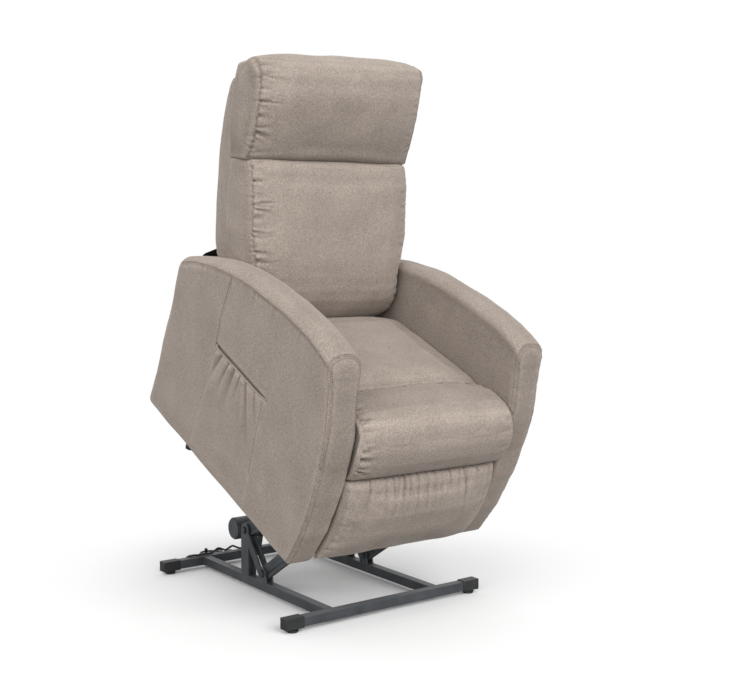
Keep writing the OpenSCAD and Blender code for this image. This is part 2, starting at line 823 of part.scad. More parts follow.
module foot_links_front() {
    color(steel) chair() both_sides() {
        side_slab(foot_x, foot_x + foot_t) difference() {
            bar(foot_b, foot_b_end, foot_w);
            spot(foot_b, stud_r + run);
        }
        rod_x(foot_x + foot_t, foot_x + 12, [-foot_b_mid[0], foot_b_mid[1]], stud_r);
        rod_x(foot_x + 10, foot_x + 12, [-foot_b_mid[0], foot_b_mid[1]], stud_r + 3);
        rod_x(foot_x - 6, foot_x, [-foot_b_end[0], foot_b_end[1]], stud_r);
    }
}

module foot_couplers() {
    color(steel) chair() both_sides() side_slab(foot_x + 5, foot_x + 9) difference() {
        bar(foot_mid, foot_pin, foot_w);
        spot(foot_mid, stud_r + run);
        spot(foot_b_mid, stud_r + 0.3);
        spot(foot_pin, stud_r + run);
    }
}

module foot_tilt_links() {
    color(steel) chair() both_sides() side_slab(foot_x - 5, foot_x - 1) difference() {
        union() {
            bar(foot_b_end, foot_pin_2, foot_w);
            spot(foot_b_end, 15);
        }
        spot(foot_b_end, stud_r + tilt_play);
        spot(foot_pin_2, stud_r + run);
    }
}

module foot_board() {
    color(wood) chair() side_box(11 - pad_half, pad_half - 11, board_u, board_f, 20, 250);
}

module foot_brackets() {
    color(steel) chair() both_sides() {
        side_slab(foot_x, foot_x + foot_t) {
            polygon([[board_u, 92], [board_u, 168], foot_pin + [2, 11.8], foot_pin + [-11.8, 2],
                foot_pin_2 + [-11.9, 0], foot_pin_2 + [2, -11.8]]);
            spot(foot_pin, 12);
            spot(foot_pin_2, 12);
        }
        side_box(foot_x - 20, foot_x + foot_t, board_u - 3, board_u, 92, 168);
        rod_x(foot_x + foot_t, foot_x + 12, [-foot_pin[0], foot_pin[1]], stud_r);
        rod_x(foot_x + 10, foot_x + 12, [-foot_pin[0], foot_pin[1]], stud_r + 3);
        rod_x(foot_x - 8, foot_x, [-foot_pin_2[0], foot_pin_2[1]], stud_r);
        rod_x(foot_x - 8, foot_x - 6, [-foot_pin_2[0], foot_pin_2[1]], stud_r + 3);
    }
}

front_tube();
rear_tube();
rail_right();
rail_left();
tube_sleeves();
glide_feet();
stand_right();
stand_left();
stand_bolts();
drive_bracket();
drive_foot_pin();
cable();
cable_tie();
cable_plug();
lift_arm_right();
lift_arm_left();
torsion_tube();
lower_link_right();
lower_link_left();
gearbox();
motor_can();
drive_tube();
drive_rod();
rod_fork();
chassis_rail_right();
chassis_rail_left();
drive_cross_tube();
front_cross_tube();
rear_cross_tube();
lift_bracket_right();
lift_bracket_left();
bracket_bolts();
seat_box();
seat_webbing();
seat_cushion();
arm_board_right();
arm_board_left();
arm_right();
arm_left();
facing_right();
facing_left();
side_pocket();
arm_glides();
hinge_plates();
hinge_pins();
foot_pivot_pins();
back_frame();
back_webbing();
hinge_brackets();
back_shell();
back_cushion();
head_pillow();
rear_skirt();
foot_links_rear();
foot_links_front();
foot_couplers();
foot_tilt_links();
foot_board();
foot_brackets();
foot_pad();
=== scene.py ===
"""Lift recliner chair: upholstery, seams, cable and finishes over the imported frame."""

import json
import math

import bmesh
import bpy
import numpy as np
from bpy.props import FloatProperty, FloatVectorProperty, PointerProperty
from mathutils import Matrix, Vector
from mathutils.bvhtree import BVHTree

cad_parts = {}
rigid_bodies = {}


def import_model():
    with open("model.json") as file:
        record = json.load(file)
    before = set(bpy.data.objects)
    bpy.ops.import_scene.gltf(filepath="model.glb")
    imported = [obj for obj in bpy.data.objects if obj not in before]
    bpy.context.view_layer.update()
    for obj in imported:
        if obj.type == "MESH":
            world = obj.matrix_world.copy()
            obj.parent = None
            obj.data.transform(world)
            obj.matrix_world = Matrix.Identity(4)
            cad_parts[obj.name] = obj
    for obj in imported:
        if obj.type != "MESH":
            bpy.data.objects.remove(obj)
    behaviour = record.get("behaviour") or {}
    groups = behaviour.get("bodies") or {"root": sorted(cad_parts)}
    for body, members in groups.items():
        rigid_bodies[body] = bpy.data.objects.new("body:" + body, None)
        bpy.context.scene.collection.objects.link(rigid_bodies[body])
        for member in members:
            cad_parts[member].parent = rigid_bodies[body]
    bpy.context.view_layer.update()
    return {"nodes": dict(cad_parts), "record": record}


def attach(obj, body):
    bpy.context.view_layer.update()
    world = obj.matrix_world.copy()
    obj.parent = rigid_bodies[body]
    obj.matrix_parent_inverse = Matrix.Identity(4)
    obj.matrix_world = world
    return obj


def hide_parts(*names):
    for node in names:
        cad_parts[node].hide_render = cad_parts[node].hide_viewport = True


bl_info = {
    "name": "Lift Recliner Upholstery",
    "version": (1, 0, 0),
    "blender": (4, 5, 0),
    "location": "3D View > Sidebar > Recliner",
    "description": "Upholsters, finishes and stages a lift recliner chair",
    "category": "Object",
}

for leftover in list(bpy.data.objects):
    bpy.data.objects.remove(leftover)
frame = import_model()
NODES = frame["nodes"]

# The chair tips forward on its lift; x is across, y is minus the way forward, z is up from the arm's foot.
CHAIR = Matrix.Translation((0, 0.4965, 0.507)) @ Matrix.Rotation(math.radians(23.64), 4, "X")
# The back's own frame: y is minus the way out of its front, z runs up the back.
BACK = CHAIR @ Matrix.Translation((0, -0.25, 0.44)) @ Matrix.Rotation(math.radians(-15), 4, "X")

# Arm outline in the chair's frame, metres: height of the top by the way forward.
ARM_TOP = np.array([[50, 481], [57, 485], [80, 500], [140, 527], [245, 558], [350, 580], [424, 591],
                    [530, 597], [641, 598], [720, 594], [766, 587], [805, 577], [830, 566]]) / 1000
# Front edge of the arm: the way forward by height.
ARM_FRONT = np.array([[0, 836], [40, 851], [86, 864], [150, 876], [200, 882], [300, 885], [400, 879],
                      [470, 862], [520, 846], [560, 830], [600, 812]]) / 1000
# Side seams of the back cushion and head pillow: out of the back's plane by height.
BACK_SEAM = np.array([[-60, -14], [-38, 20], [-16, 42], [12, 58], [44, 70], [84, 80], [130, 84], [205, 79],
                      [275, 72], [353, 60], [387, 40]]) / 1000
PILLOW_SEAM = np.array([[389, 40], [423, 56], [440, 64], [507, 73], [560, 77], [603, 76], [636, 62],
                        [663, 18]]) / 1000

CLOTH = "brushed_microfibre_taupe"
# Rows of stitches by body, noted while the pieces are made and sewn by the stitching operator.
STITCHED = {}


def linear(code):
    """An sRGB hex colour as linear red, green, blue and alpha."""
    parts = [int(code[i:i + 2], 16) / 255 for i in (0, 2, 4)]
    return [c / 12.92 if c <= 0.04045 else ((c + 0.055) / 1.055) ** 2.4 for c in parts] + [1.0]


class RECLINER_PG_sizes(bpy.types.PropertyGroup):
    """Sizes of the upholstery work."""

    seam_depth: FloatProperty(name="Seam Depth", description="How far a sewn seam draws the cloth in",
                              default=0.005, min=0.001, max=0.012, unit="LENGTH")
    gather_depth: FloatProperty(name="Gather Depth", description="Depth of the small creases beside a seam",
                                default=0.0046, min=0.0, max=0.008, unit="LENGTH")
    pleat_depth: FloatProperty(name="Pleat Depth", description="Depth of the foot pad's and pocket's pleats",
                               default=0.006, min=0.0, max=0.01, unit="LENGTH")
    stuffing: FloatProperty(name="Stuffing Pressure", description="Pressure that fills the cushions",
                            default=4.0, min=0.0, max=10.0)
    stitch_pitch: FloatProperty(name="Stitch Pitch", description="Distance between stitches",
                                default=0.0062, min=0.003, max=0.012, unit="LENGTH")
    stitch_width: FloatProperty(name="Thread Width", description="Width of the sewing thread",
                                default=0.0018, min=0.0005, max=0.003, unit="LENGTH")
    edge_round: FloatProperty(name="Edge Round", description="Rounding on the edges of steel and plastic",
                              default=0.0012, min=0.0, max=0.004, unit="LENGTH")


class RECLINER_PG_colours(bpy.types.PropertyGroup):
    """Colours of the chair's finishes."""

    cloth: FloatVectorProperty(name="Cloth", description="Upholstery cloth", subtype="COLOR", size=4,
                               min=0, max=1, default=linear("A79B91"))
    cloth_dark: FloatVectorProperty(name="Cloth Nap", description="Cloth where its nap lies away",
                                    subtype="COLOR", size=4, min=0, max=1, default=linear("7F756D"))
    thread: FloatVectorProperty(name="Thread", description="Sewing thread", subtype="COLOR", size=4,
                                min=0, max=1, default=linear("665C54"))
    steel: FloatVectorProperty(name="Steel", description="Powder-coated steel", subtype="COLOR", size=4,
                               min=0, max=1, default=linear("313437"))
    plastic: FloatVectorProperty(name="Plastic", description="Moulded caps and feet", subtype="COLOR", size=4,
                                 min=0, max=1, default=linear("1D1E1F"))
    board: FloatVectorProperty(name="Boards", description="Plywood frame boards", subtype="COLOR", size=4,
                               min=0, max=1, default=linear("B79062"))


def node(tree, kind, values=None, links=None, **settings):
    """Adds a node: its own settings, constant values by socket and links by socket."""
    made = tree.nodes.new(kind)
    for key, value in settings.items():
        setattr(made, key, value)
    for key, value in (values or {}).items():
        made.inputs[key].default_value = value
    for key, source in (links or {}).items():
        tree.links.new(source, made.inputs[key])
    return made


def begin(name):
    """A new empty material, its node tree and the coordinates that its patterns follow."""
    material = bpy.data.materials.new(name)
    material.use_nodes = True
    tree = material.node_tree
    tree.nodes.clear()
    return material, tree, node(tree, "ShaderNodeTexCoord").outputs["Object"]


def close(tree, shader):
    """Ends a material with that shader."""
    node(tree, "ShaderNodeOutputMaterial", links={"Surface": shader.outputs[0]})


def noise(tree, at, size, detail, roughness=0.5, distortion=0.0):
    """Soft noise with features of that size, in metres."""
    values = {"Scale": 1 / size, "Detail": detail, "Roughness": roughness, "Distortion": distortion}
    return node(tree, "ShaderNodeTexNoise", values, {"Vector": at}).outputs[0]


def remap(tree, value, low, high, source=(0, 1), **settings):
    """A value spread from its source range to the range low to high."""
    limits = {"From Min": source[0], "From Max": source[1], "To Min": low, "To Max": high}
    return node(tree, "ShaderNodeMapRange", limits, {"Value": value}, **settings).outputs[0]


def maths(tree, operation, first, second):
    """One sum on two values."""
    return node(tree, "ShaderNodeMath", {}, {0: first, 1: second}, operation=operation).outputs[0]


def average(tree, first, second, share):
    """Two values mixed by a constant share of the second."""
    return node(tree, "ShaderNodeMix", {0: share}, {2: first, 3: second}).outputs[0]


def blend(tree, first, second, share):
    """One colour that turns into another as share goes from 0 to 1."""
    return node(tree, "ShaderNodeMix", {6: first, 7: second}, {0: share}, data_type="RGBA").outputs[2]


def shaded(colour, times, plus=0.0):
    """A colour made darker or paler."""
    return [min(1, c * times + plus) for c in colour[:3]] + [1]


def relief(tree, height, strength, depth, under=None):
    """Relief too small to model, over another relief if one is given."""
    links = {"Height": height} if under is None else {"Height": height, "Normal": under}
    return node(tree, "ShaderNodeBump", {"Strength": strength, "Distance": depth}, links).outputs[0]


def surface(tree, values, colour, rough, normal=None):
    """Ends a material with a plain surface of that colour, roughness and relief."""
    links = {"Base Color": colour, "Roughness": rough}
    if normal is not None:
        links["Normal"] = normal
    close(tree, node(tree, "ShaderNodeBsdfPrincipled", values, links))


def brushed_microfibre(name, light, dark):
    """Brushed polyester microfibre: matt, with cloudy nap, a fine tooth and a soft bright edge."""
    material, tree, at = begin(name)
    # Nap brushed one way or the other in hand-sized clouds of about 90 mm.
    cloud = noise(tree, at, 0.09, 3, 0.55)
    # Flecks of 5 mm where fingers and folds have turned the nap.
    fleck = noise(tree, at, 0.005, 3, 0.6)
    # The tooth of the pile is 0.3 mm; it is drawn at 3 mm so that it shows.
    tooth = noise(tree, at, 0.003, 2, 0.6)
    every = average(tree, average(tree, fleck, tooth, 0.5), cloud, 0.16)
    nap = blend(tree, dark, light, remap(tree, every, 0, 1, (0.36, 0.64)))
    # Painted shade darkens the cloth in folds and a painted highlight pales it on ridges; the covers carry
    # how folded they are, with more painted light and shade added in.
    fold = node(tree, "ShaderNodeAttribute", attribute_name="fold").outputs["Fac"]
    painted_fold_shade = remap(tree, fold, 1.03, 0.58, (-1, 1))
    colour = node(tree, "ShaderNodeMix", {0: 1.0}, {6: nap, 7: painted_fold_shade}, data_type="RGBA", blend_type="MULTIPLY")
    pile = relief(tree, tooth, 0.55, 0.0006, relief(tree, fleck, 0.5, 0.0012))
    sheen = {"Specular IOR Level": 0.2, "Sheen Weight": 0.22, "Sheen Roughness": 0.45,
             "Sheen Tint": linear("D8CFC6")}
    surface(tree, sheen, colour.outputs[2], remap(tree, fleck, 0.82, 0.96, (0.3, 0.7)), pile)
    return material


def spun_lining(name):
    """Black spun-bonded polypropylene lining: dull, with small pressed bond points."""
    material, tree, at = begin(name)
    # Bond points are 2 mm apart; drawn at 4 mm so that they show.
    grid = node(tree, "ShaderNodeTexVoronoi", {"Scale": 1 / 0.004, "Randomness": 0.25}, {"Vector": at})
    fibre = noise(tree, at, 0.02, 5)
    surface(tree, {"Specular IOR Level": 0.25}, blend(tree, linear("101011"), linear("232425"), fibre),
            remap(tree, fibre, 0.75, 0.95), relief(tree, grid.outputs[0], 0.4, 0.0004))
    return material


def powder_coat(name, base):
    """Polyester powder coat on steel: even and satin, with orange peel and dust in the light."""
    material, tree, at = begin(name)
    # Orange peel runs at about 2 mm; drawn at 3 mm so that it shows.
    peel = noise(tree, at, 0.003, 2)
    dust = noise(tree, at, 0.05, 6, 0.7)
    film = remap(tree, dust, 0, 1, (0.35, 0.7))
    colour = blend(tree, shaded(base, 0.86), shaded(base, 1.35, 0.006), film)
    surface(tree, {"Specular IOR Level": 0.5}, colour, remap(tree, dust, 0.36, 0.58),
            relief(tree, peel, 0.25, 0.0004))
    return material


def plated_steel(name, low, high, smooth, coarse):
    """Plated or drawn steel: a metal with fine streaks and patches of dulled plating."""
    material, tree, at = begin(name)
    patch = noise(tree, at, 0.012, 5)
    # Draw lines of 0.2 mm along the length; drawn at 1.5 mm so that they show.
    squeeze = node(tree, "ShaderNodeMapping", {"Scale": (1.0, 0.08, 0.08)}, {"Vector": at})
    streak = noise(tree, squeeze.outputs[0], 0.0015, 2)
    surface(tree, {"Metallic": 1.0}, blend(tree, low, high, patch), remap(tree, streak, smooth, coarse))
    return material


def moulded_plastic(name, base, gloss):
    """Moulded black nylon or PVC: near black, spark-eroded tooth and paler scuffs."""
    material, tree, at = begin(name)
    # Mould tooth of 0.4 mm, drawn at 1.2 mm so that it shows.
    tooth = noise(tree, at, 0.0012, 2)
    scuff = noise(tree, at, 0.02, 7, 0.75)
    colour = blend(tree, base, shaded(base, 1.7, 0.008), remap(tree, scuff, 0, 1, (0.5, 0.75)))
    surface(tree, {"Specular IOR Level": 0.45}, colour, remap(tree, scuff, gloss, gloss + 0.18),
            relief(tree, tooth, 0.2, 0.0003))
    return material


def birch_plywood(name, base):
    """Sanded birch plywood: pale face with long soft grain and darker flecks."""
    material, tree, at = begin(name)
    # Grain lines about 3 mm wide and twelve times as long.
    squeeze = node(tree, "ShaderNodeMapping", {"Scale": (1.0, 0.08, 1.0)}, {"Vector": at})
    grain = noise(tree, squeeze.outputs[0], 0.003, 5, distortion=0.6)
    mixed = average(tree, grain, noise(tree, at, 0.12, 3), 0.4)
    colour = blend(tree, shaded(base, 0.68), base, remap(tree, mixed, 0, 1, (0.35, 0.65)))
    surface(tree, {"Specular IOR Level": 0.35}, colour, remap(tree, grain, 0.55, 0.75),
            relief(tree, grain, 0.2, 0.0004))
    return material


def woven_webbing(name):
    """Woven elastic webbing: charcoal ribs across the strap with a pair of lighter warp lines."""
    material, tree, _ = begin(name)
    strap = node(tree, "ShaderNodeUVMap", uv_map="strap").outputs[0]
    # Weft ribs of 1.5 mm, drawn at 3 mm so that they show; the map runs in metres.
    per_metre = 2 * math.pi / 20
    weft = node(tree, "ShaderNodeTexWave", {"Scale": per_metre / 0.003, "Distortion": 0.4, "Detail": 1},
                {"Vector": strap}, bands_direction="Y").outputs["Fac"]
    warp = node(tree, "ShaderNodeTexWave", {"Scale": per_metre / 0.011, "Distortion": 0.2},
                {"Vector": strap}, bands_direction="X").outputs["Fac"]
    mixed = maths(tree, "MULTIPLY", weft, warp)
    surface(tree, {"Specular IOR Level": 0.25}, blend(tree, linear("26272A"), linear("55575B"), mixed),
            remap(tree, weft, 0.7, 0.92), relief(tree, mixed, 0.6, 0.0006))
    return material


def finish(name):
    """The chair's material of that name, made when first asked for."""
    if name in bpy.data.materials:
        return bpy.data.materials[name]
    colours = bpy.context.scene.recliner_colours
    cloth, nap, thread = list(colours.cloth), list(colours.cloth_dark), list(colours.thread)
    recipes = {
        CLOTH: (brushed_microfibre, cloth, nap),
        "bonded_polyester_thread": (brushed_microfibre, shaded(thread, 1.15), thread),
        "spun_bonded_lining_black": (spun_lining,),
        "powder_coated_steel_graphite": (powder_coat, list(colours.steel)),
        "stoved_enamel_graphite": (powder_coat, linear("323538")),
        "zinc_plated_steel_dark": (plated_steel, linear("4A4A4C"), linear("727376"), 0.3, 0.5),
        "drawn_steel_bright": (plated_steel, linear("A9ADB2"), linear("D3D6DA"), 0.16, 0.34),
        "moulded_nylon_black": (moulded_plastic, list(colours.plastic), 0.42),
        "soft_pvc_jacket_black": (moulded_plastic, linear("161617"), 0.34),
        "birch_plywood_sanded": (birch_plywood, list(colours.board)),
        "woven_elastic_webbing": (woven_webbing,),
    }
    make, *values = recipes[name]
    return make(name, *values)


def link(name, data):
    """A new object in the scene that holds data."""
    obj = bpy.data.objects.new(name, data)
    bpy.context.scene.collection.objects.link(obj)
    return obj


def mesh_of(build, name):
    """The mesh that a bmesh has built, which is then freed."""
    mesh = bpy.data.meshes.new(name)
    build.to_mesh(mesh)
    build.free()
    return mesh


def evaluated(obj):
    """A plain mesh of obj with its modifiers."""
    return bpy.data.meshes.new_from_object(obj.evaluated_get(bpy.context.evaluated_depsgraph_get()))


def bake(obj):
    """Applies the modifiers on obj, so that its mesh is plain."""
    mesh = evaluated(obj)
    before = obj.data
    obj.modifiers.clear()
    obj.data = mesh
    bpy.data.meshes.remove(before)
    mesh.name = obj.name


def strands(name, rows):
    """A curve object with one straight-sided strand through each row of points."""
    data = bpy.data.curves.new(name, "CURVE")
    data.dimensions = "3D"
    for row in rows:
        spline = data.splines.new("POLY")
        spline.points.add(len(row) - 1)
        for point, spot in zip(spline.points, row):
            point.co = (*spot, 1)
    return link(name, data)


def meshed(curve):
    """Puts a mesh object in a curve object's place."""
    name, mesh = curve.name, evaluated(curve)
    bpy.data.objects.remove(curve)
    mesh.name = name
    return link(name, mesh)


def panel(name, grid, thickness):
    """A sheet of cloth through rows of points."""
    build = bmesh.new()
    rows = [[build.verts.new(spot) for spot in row] for row in grid]
    for a, b in zip(rows, rows[1:]):
        for i in range(len(a) - 1):
            build.faces.new((a[i], a[i + 1], b[i + 1], b[i]))
    bmesh.ops.recalc_face_normals(build, faces=build.faces)
    obj = link(name, mesh_of(build, name))
    wall = obj.modifiers.new("cloth", "SOLIDIFY")
    wall.thickness, wall.offset = thickness, 0
    bake(obj)
    return obj


def cover(name, nodes, place, voxel, smooth):
    """An even, softened mesh over these CAD solids, in the frame that place gives."""
    build = bmesh.new()
    for each in nodes:
        build.from_mesh(NODES[each].data)
    bmesh.ops.remove_doubles(build, verts=build.verts, dist=1e-5)
    mesh = mesh_of(build, name)
    mesh.transform(place.inverted())
    obj = link(name, mesh)
    even = obj.modifiers.new("even", "REMESH")
    even.mode, even.voxel_size = "VOXEL", voxel
    bake(obj)
    relax(obj, smooth)
    return obj


def points(obj):
    """Places and normals of obj's points."""
    mesh = obj.data
    place, normal = np.empty(len(mesh.vertices) * 3), np.empty(len(mesh.vertices) * 3)
    mesh.vertices.foreach_get("co", place)
    mesh.vertices.foreach_get("normal", normal)
    return place.reshape(-1, 3), normal.reshape(-1, 3)


def put(obj, place):
    """Moves obj's points to their new places."""
    obj.data.vertices.foreach_set("co", np.ascontiguousarray(place, dtype=np.float32).ravel())
    obj.data.update()
    bpy.context.view_layer.update()


def edges(obj):
    """The two points of each of obj's edges, as two rows of numbers."""
    ends = np.empty(len(obj.data.edges) * 2, np.int32)
    obj.data.edges.foreach_get("vertices", ends)
    return ends.reshape(-1, 2).T


def around(obj):
    """A function that gives the mean of values over each point's neighbours on obj."""
    a, b = edges(obj)
    count = len(obj.data.vertices)
    many = (np.bincount(a, minlength=count) + np.bincount(b, minlength=count))[:, None]

    def mean(values):
        """Each point's neighbours, averaged."""
        sums = [np.bincount(a, c[b], count) + np.bincount(b, c[a], count) for c in values.T]
        return np.column_stack(sums) / many

    return mean


def relax(obj, times):
    """Rounds off corners without losing volume."""
    place, _ = points(obj)
    mean = around(obj)
    for _ in range(times):
        for step in (0.5, -0.51):
            place += step * (mean(place) - place)
    put(obj, place)


def ease(value, low, high):
    """Zero below low, one above high and smooth between."""
    share = np.clip((value - low) / (high - low), 0, 1)
    return share * share * (3 - 2 * share)


def bell(value, middle, width):
    """One at middle, falling smoothly to zero about two widths away."""
    return np.exp(-(((value - middle) / width) ** 2))


def stuff(obj, held, smooth=8):
    """Shrinks obj a little, then fills it under pressure with cloth simulation, near its drawn form."""
    shrink, frames, furthest = 0.005, 20, 0.024
    # How far the filled cloth may end inside and outside the drawn form.
    inside, outside = 0.003, 0.007
    place, normal = points(obj)
    shrunk = place - normal * np.where(held, 0, shrink)[:, None]
    put(obj, shrunk)
    group = obj.vertex_groups.new(name="held")
    group.add([int(i) for i in np.nonzero(held)[0]], 1.0, "REPLACE")
    cloth = obj.modifiers.new("stuffing", "CLOTH")
    rule = cloth.settings
    rule.quality, rule.mass, rule.air_damping = 4, 0.25, 2.0
    rule.tension_stiffness = rule.compression_stiffness = 9.0
    rule.shear_stiffness, rule.bending_stiffness = 4.0, 0.5
    rule.vertex_group_mass = "held"
    rule.shrink_min = -0.01
    rule.use_pressure, rule.uniform_pressure_force = True, bpy.context.scene.recliner_sizes.stuffing
    rule.effector_weights.gravity = 0
    cloth.collision_settings.use_collision = False
    cloth.point_cache.frame_start, cloth.point_cache.frame_end = 1, frames
    scene = bpy.context.scene
    for number in range(1, frames + 1):
        scene.frame_set(number)
    bake(obj)
    obj.vertex_groups.clear()
    scene.frame_set(1)
    full, _ = points(obj)
    move = full - shrunk
    move *= np.minimum(1, furthest / np.maximum(np.linalg.norm(move, axis=1), 1e-9))[:, None]
    move += shrunk - place
    out = (move * normal).sum(1)
    move += normal * (np.clip(out, -inside, outside) - out)[:, None]
    mean = around(obj)
    for _ in range(smooth):
        move += 0.5 * (mean(move) - move)
    put(obj, place + move)


def refine(obj):
    """One level of subdivision, applied."""
    finer = obj.modifiers.new("finer", "SUBSURF")
    finer.levels = finer.render_levels = 1
    bake(obj)


def stuffed(name, solid, place, voxel, rounding, held, smooth=8):
    """A stuffed cover over a CAD solid; held tells where it is fixed, from the way forward and the height."""
    obj = cover(name, [solid], place, voxel, rounding)
    spots, _ = points(obj)
    stuff(obj, held(-spots[:, 1], spots[:, 2]), smooth)
    refine(obj)
    return obj


def steps_along(line):
    """How far along a line each of its points lies."""
    return np.concatenate([[0], np.cumsum(np.linalg.norm(np.diff(line, axis=0), axis=1))])


def smooth_line(guide, step):
    """Even points along a smooth line through the guide points."""
    guide = np.asarray(guide, float)
    ends = np.vstack([2 * guide[0] - guide[1], guide, 2 * guide[-1] - guide[-2]])
    t = np.linspace(0, 1, 16, endpoint=False)[:, None]
    fine = []
    for a, b, c, d in zip(ends, ends[1:], ends[2:], ends[3:]):
        fine.append(0.5 * (2 * b + (c - a) * t + (2 * a - 5 * b + 4 * c - d) * t**2
                           + (3 * b - a - 3 * c + d) * t**3))
    fine = np.vstack(fine + [guide[-1:]])
    run = steps_along(fine)
    even = np.linspace(0, run[-1], max(2, int(run[-1] / step)))
    return np.column_stack([np.interp(even, run, fine[:, axis]) for axis in range(3)])


def seam(obj, guide, step=0.003):
    """A smooth line through the guide points, laid on obj's surface."""
    skin = BVHTree.FromObject(obj, bpy.context.evaluated_depsgraph_get())
    return np.array([skin.find_nearest(Vector(q))[0] for q in smooth_line(guide, step)])


def beside(place, line, reach):
    """Points within reach of a line: their rows, distances and nearest step of the line."""
    rows = np.nonzero(((place > line.min(0) - reach) & (place < line.max(0) + reach)).all(1))[0]
    gap, step = np.empty(len(rows)), np.empty(len(rows), int)
    batch = 4000
    for i in range(0, len(rows), batch):
        squares = ((place[rows[i:i + batch], None] - line[None]) ** 2).sum(2)
        step[i:i + batch] = squares.argmin(1)
        gap[i:i + batch] = np.sqrt(squares.min(1))
    close_by = gap < reach
    return rows[close_by], gap[close_by], step[close_by]


def sew(place, normal, line, depth, width):
    """Draws the cloth in along a seam."""
    rows, gap, _ = beside(place, line, width * 3)
    place[rows] -= normal[rows] * (depth * bell(gap, 0, width))[:, None]


def shade_seam(place, line, dark, width):
    """How much painted shade darkens the cloth beside a seam, for every point."""
    rows, gap, _ = beside(place, line, width * 3)
    shade = np.zeros(len(place))
    shade[rows] = dark * bell(gap, 0, width)
    return shade


def gather(place, normal, line, towards, seed, pitch, length, depth, width, slant=0.3):
    """Small creases that run away from a seam on the side that towards points to."""
    rows, gap, step = beside(place, line, length[1])
    side = (place[rows] - line[step]) @ np.asarray(towards, float) > -0.001
    rows, gap, step = rows[side], gap[side], step[side]
    run = steps_along(line)
    rng = np.random.default_rng(seed)
    move = np.zeros(len(rows))
    for middle in np.arange(pitch / 2, run[-1], pitch):
        middle += rng.uniform(-0.8, 0.8) * pitch
        reach = rng.uniform(*length)
        wide = width * rng.uniform(0.7, 1.4) * (1 + 0.6 * gap / reach)
        off = run[step] - middle - rng.uniform(-slant, slant) * gap
        fade = np.clip(1 - gap / reach, 0, 1) ** 1.3
        crease = 0.5 * bell(off, 0, 2.2 * wide) - bell(off, 0, wide)
        move += depth * rng.uniform(0.2, 1.4) * crease * fade
    place[rows] += normal[rows] * move[:, None]


def ripple(place, seed, size, amount):
    """Soft unevenness of loose cloth over foam."""
    waves = 14
    rng = np.random.default_rng(seed)
    total = np.zeros(len(place))
    for _ in range(waves):
        way = rng.normal(size=3)
        way *= 2 * math.pi / (size * rng.uniform(0.7, 1.6)) / max(np.linalg.norm(way), 1e-6)
        total += np.sin(place @ way + rng.uniform(0, 2 * math.pi))
    return (amount / math.sqrt(waves) * total)[:, None]


def stitch(obj, line, offset, place, body):
    """Notes a row of stitches beside a seam of obj for the stitching operator."""
    skin = BVHTree.FromObject(obj, bpy.context.evaluated_depsgraph_get())
    found = [skin.find_nearest(Vector(q)) for q in line]
    spots = np.array([f[0] for f in found])
    up = np.array([f[1] for f in found])
    way = np.gradient(spots, axis=0)
    out = np.cross(up, way)
    out /= np.maximum(np.linalg.norm(out, axis=1), 1e-9)[:, None]
    row = [skin.find_nearest(Vector(q))[:2] for q in spots + out * offset]
    STITCHED.setdefault(body, []).append([place @ (q + n * 0.0004) for q, n in row])


def paint_fold_shade(obj, brushed=0.0):
    """Notes how deep each point lies in a fold, below zero on a ridge, for painted shade in folds and a
    painted highlight on ridges, and adds the given painted light and shade.
    """
    reach, deep, ridge = 0.011, 0.0016, -0.35
    place, normal = points(obj)
    mean = around(obj)
    a, b = edges(obj)
    spacing = np.median(np.linalg.norm(place[a] - place[b], axis=1))
    flat = place
    for _ in range(int((reach / spacing) ** 2)):
        flat = mean(flat)
    fold = np.clip(((flat - place) * normal).sum(1) / deep, ridge, 1)
    fold = np.clip(fold + brushed, -1, 1)
    obj.data.attributes.new("fold", "FLOAT", "POINT").data.foreach_set("value", fold.astype(np.float32))


def dress(obj, place, body, nodes, material):
    """Puts a finished piece in the chair: its place, finish, body and the nodes it stands for."""
    obj.data.transform(place)
    obj.data.update()
    obj.data.shade_smooth()
    obj.data.materials.clear()
    obj.data.materials.append(finish(material))
    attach(obj, body)
    if nodes:
        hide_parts(*nodes)


def upholster(obj, place, body, nodes, brushed=0.0):
    """Puts a stuffed piece in the chair, with painted shade where the given tone is above zero and painted
    light below.
    """
    dress(obj, place, body, nodes, CLOTH)
    paint_fold_shade(obj, brushed)


def arm_top(u):
    """Height of an arm's top edge, by the way forward."""
    return np.interp(u, ARM_TOP[:, 0], ARM_TOP[:, 1])


def arm_front(v):
    """The way forward to an arm's front edge, by height."""
    return np.interp(v, ARM_FRONT[:, 0], ARM_FRONT[:, 1])


def arm_face(v):
    """Outer face of an arm from the middle of the chair, by height."""
    return 0.316 + 0.02 * np.asarray(v) / 0.598


def back_half(w):
    """Half width of the back's cushions by height, narrower between the arms."""
    rise = min(1, max(0, (w - 0.105) / 0.08))
    low = 0.2415 - 0.025 * max(0, 0.05 - w)
    return low + (0.26 - low) * rise * rise * (3 - 2 * rise)


def hang(obj):
    """Lets the back hang a little lower at its right-hand end, more so towards the top."""
    place, _ = points(obj)
    place[:, 2] += 0.06 * np.clip((place[:, 2] - 0.2) / 0.45, 0, 1) * place[:, 0]
    put(obj, place)


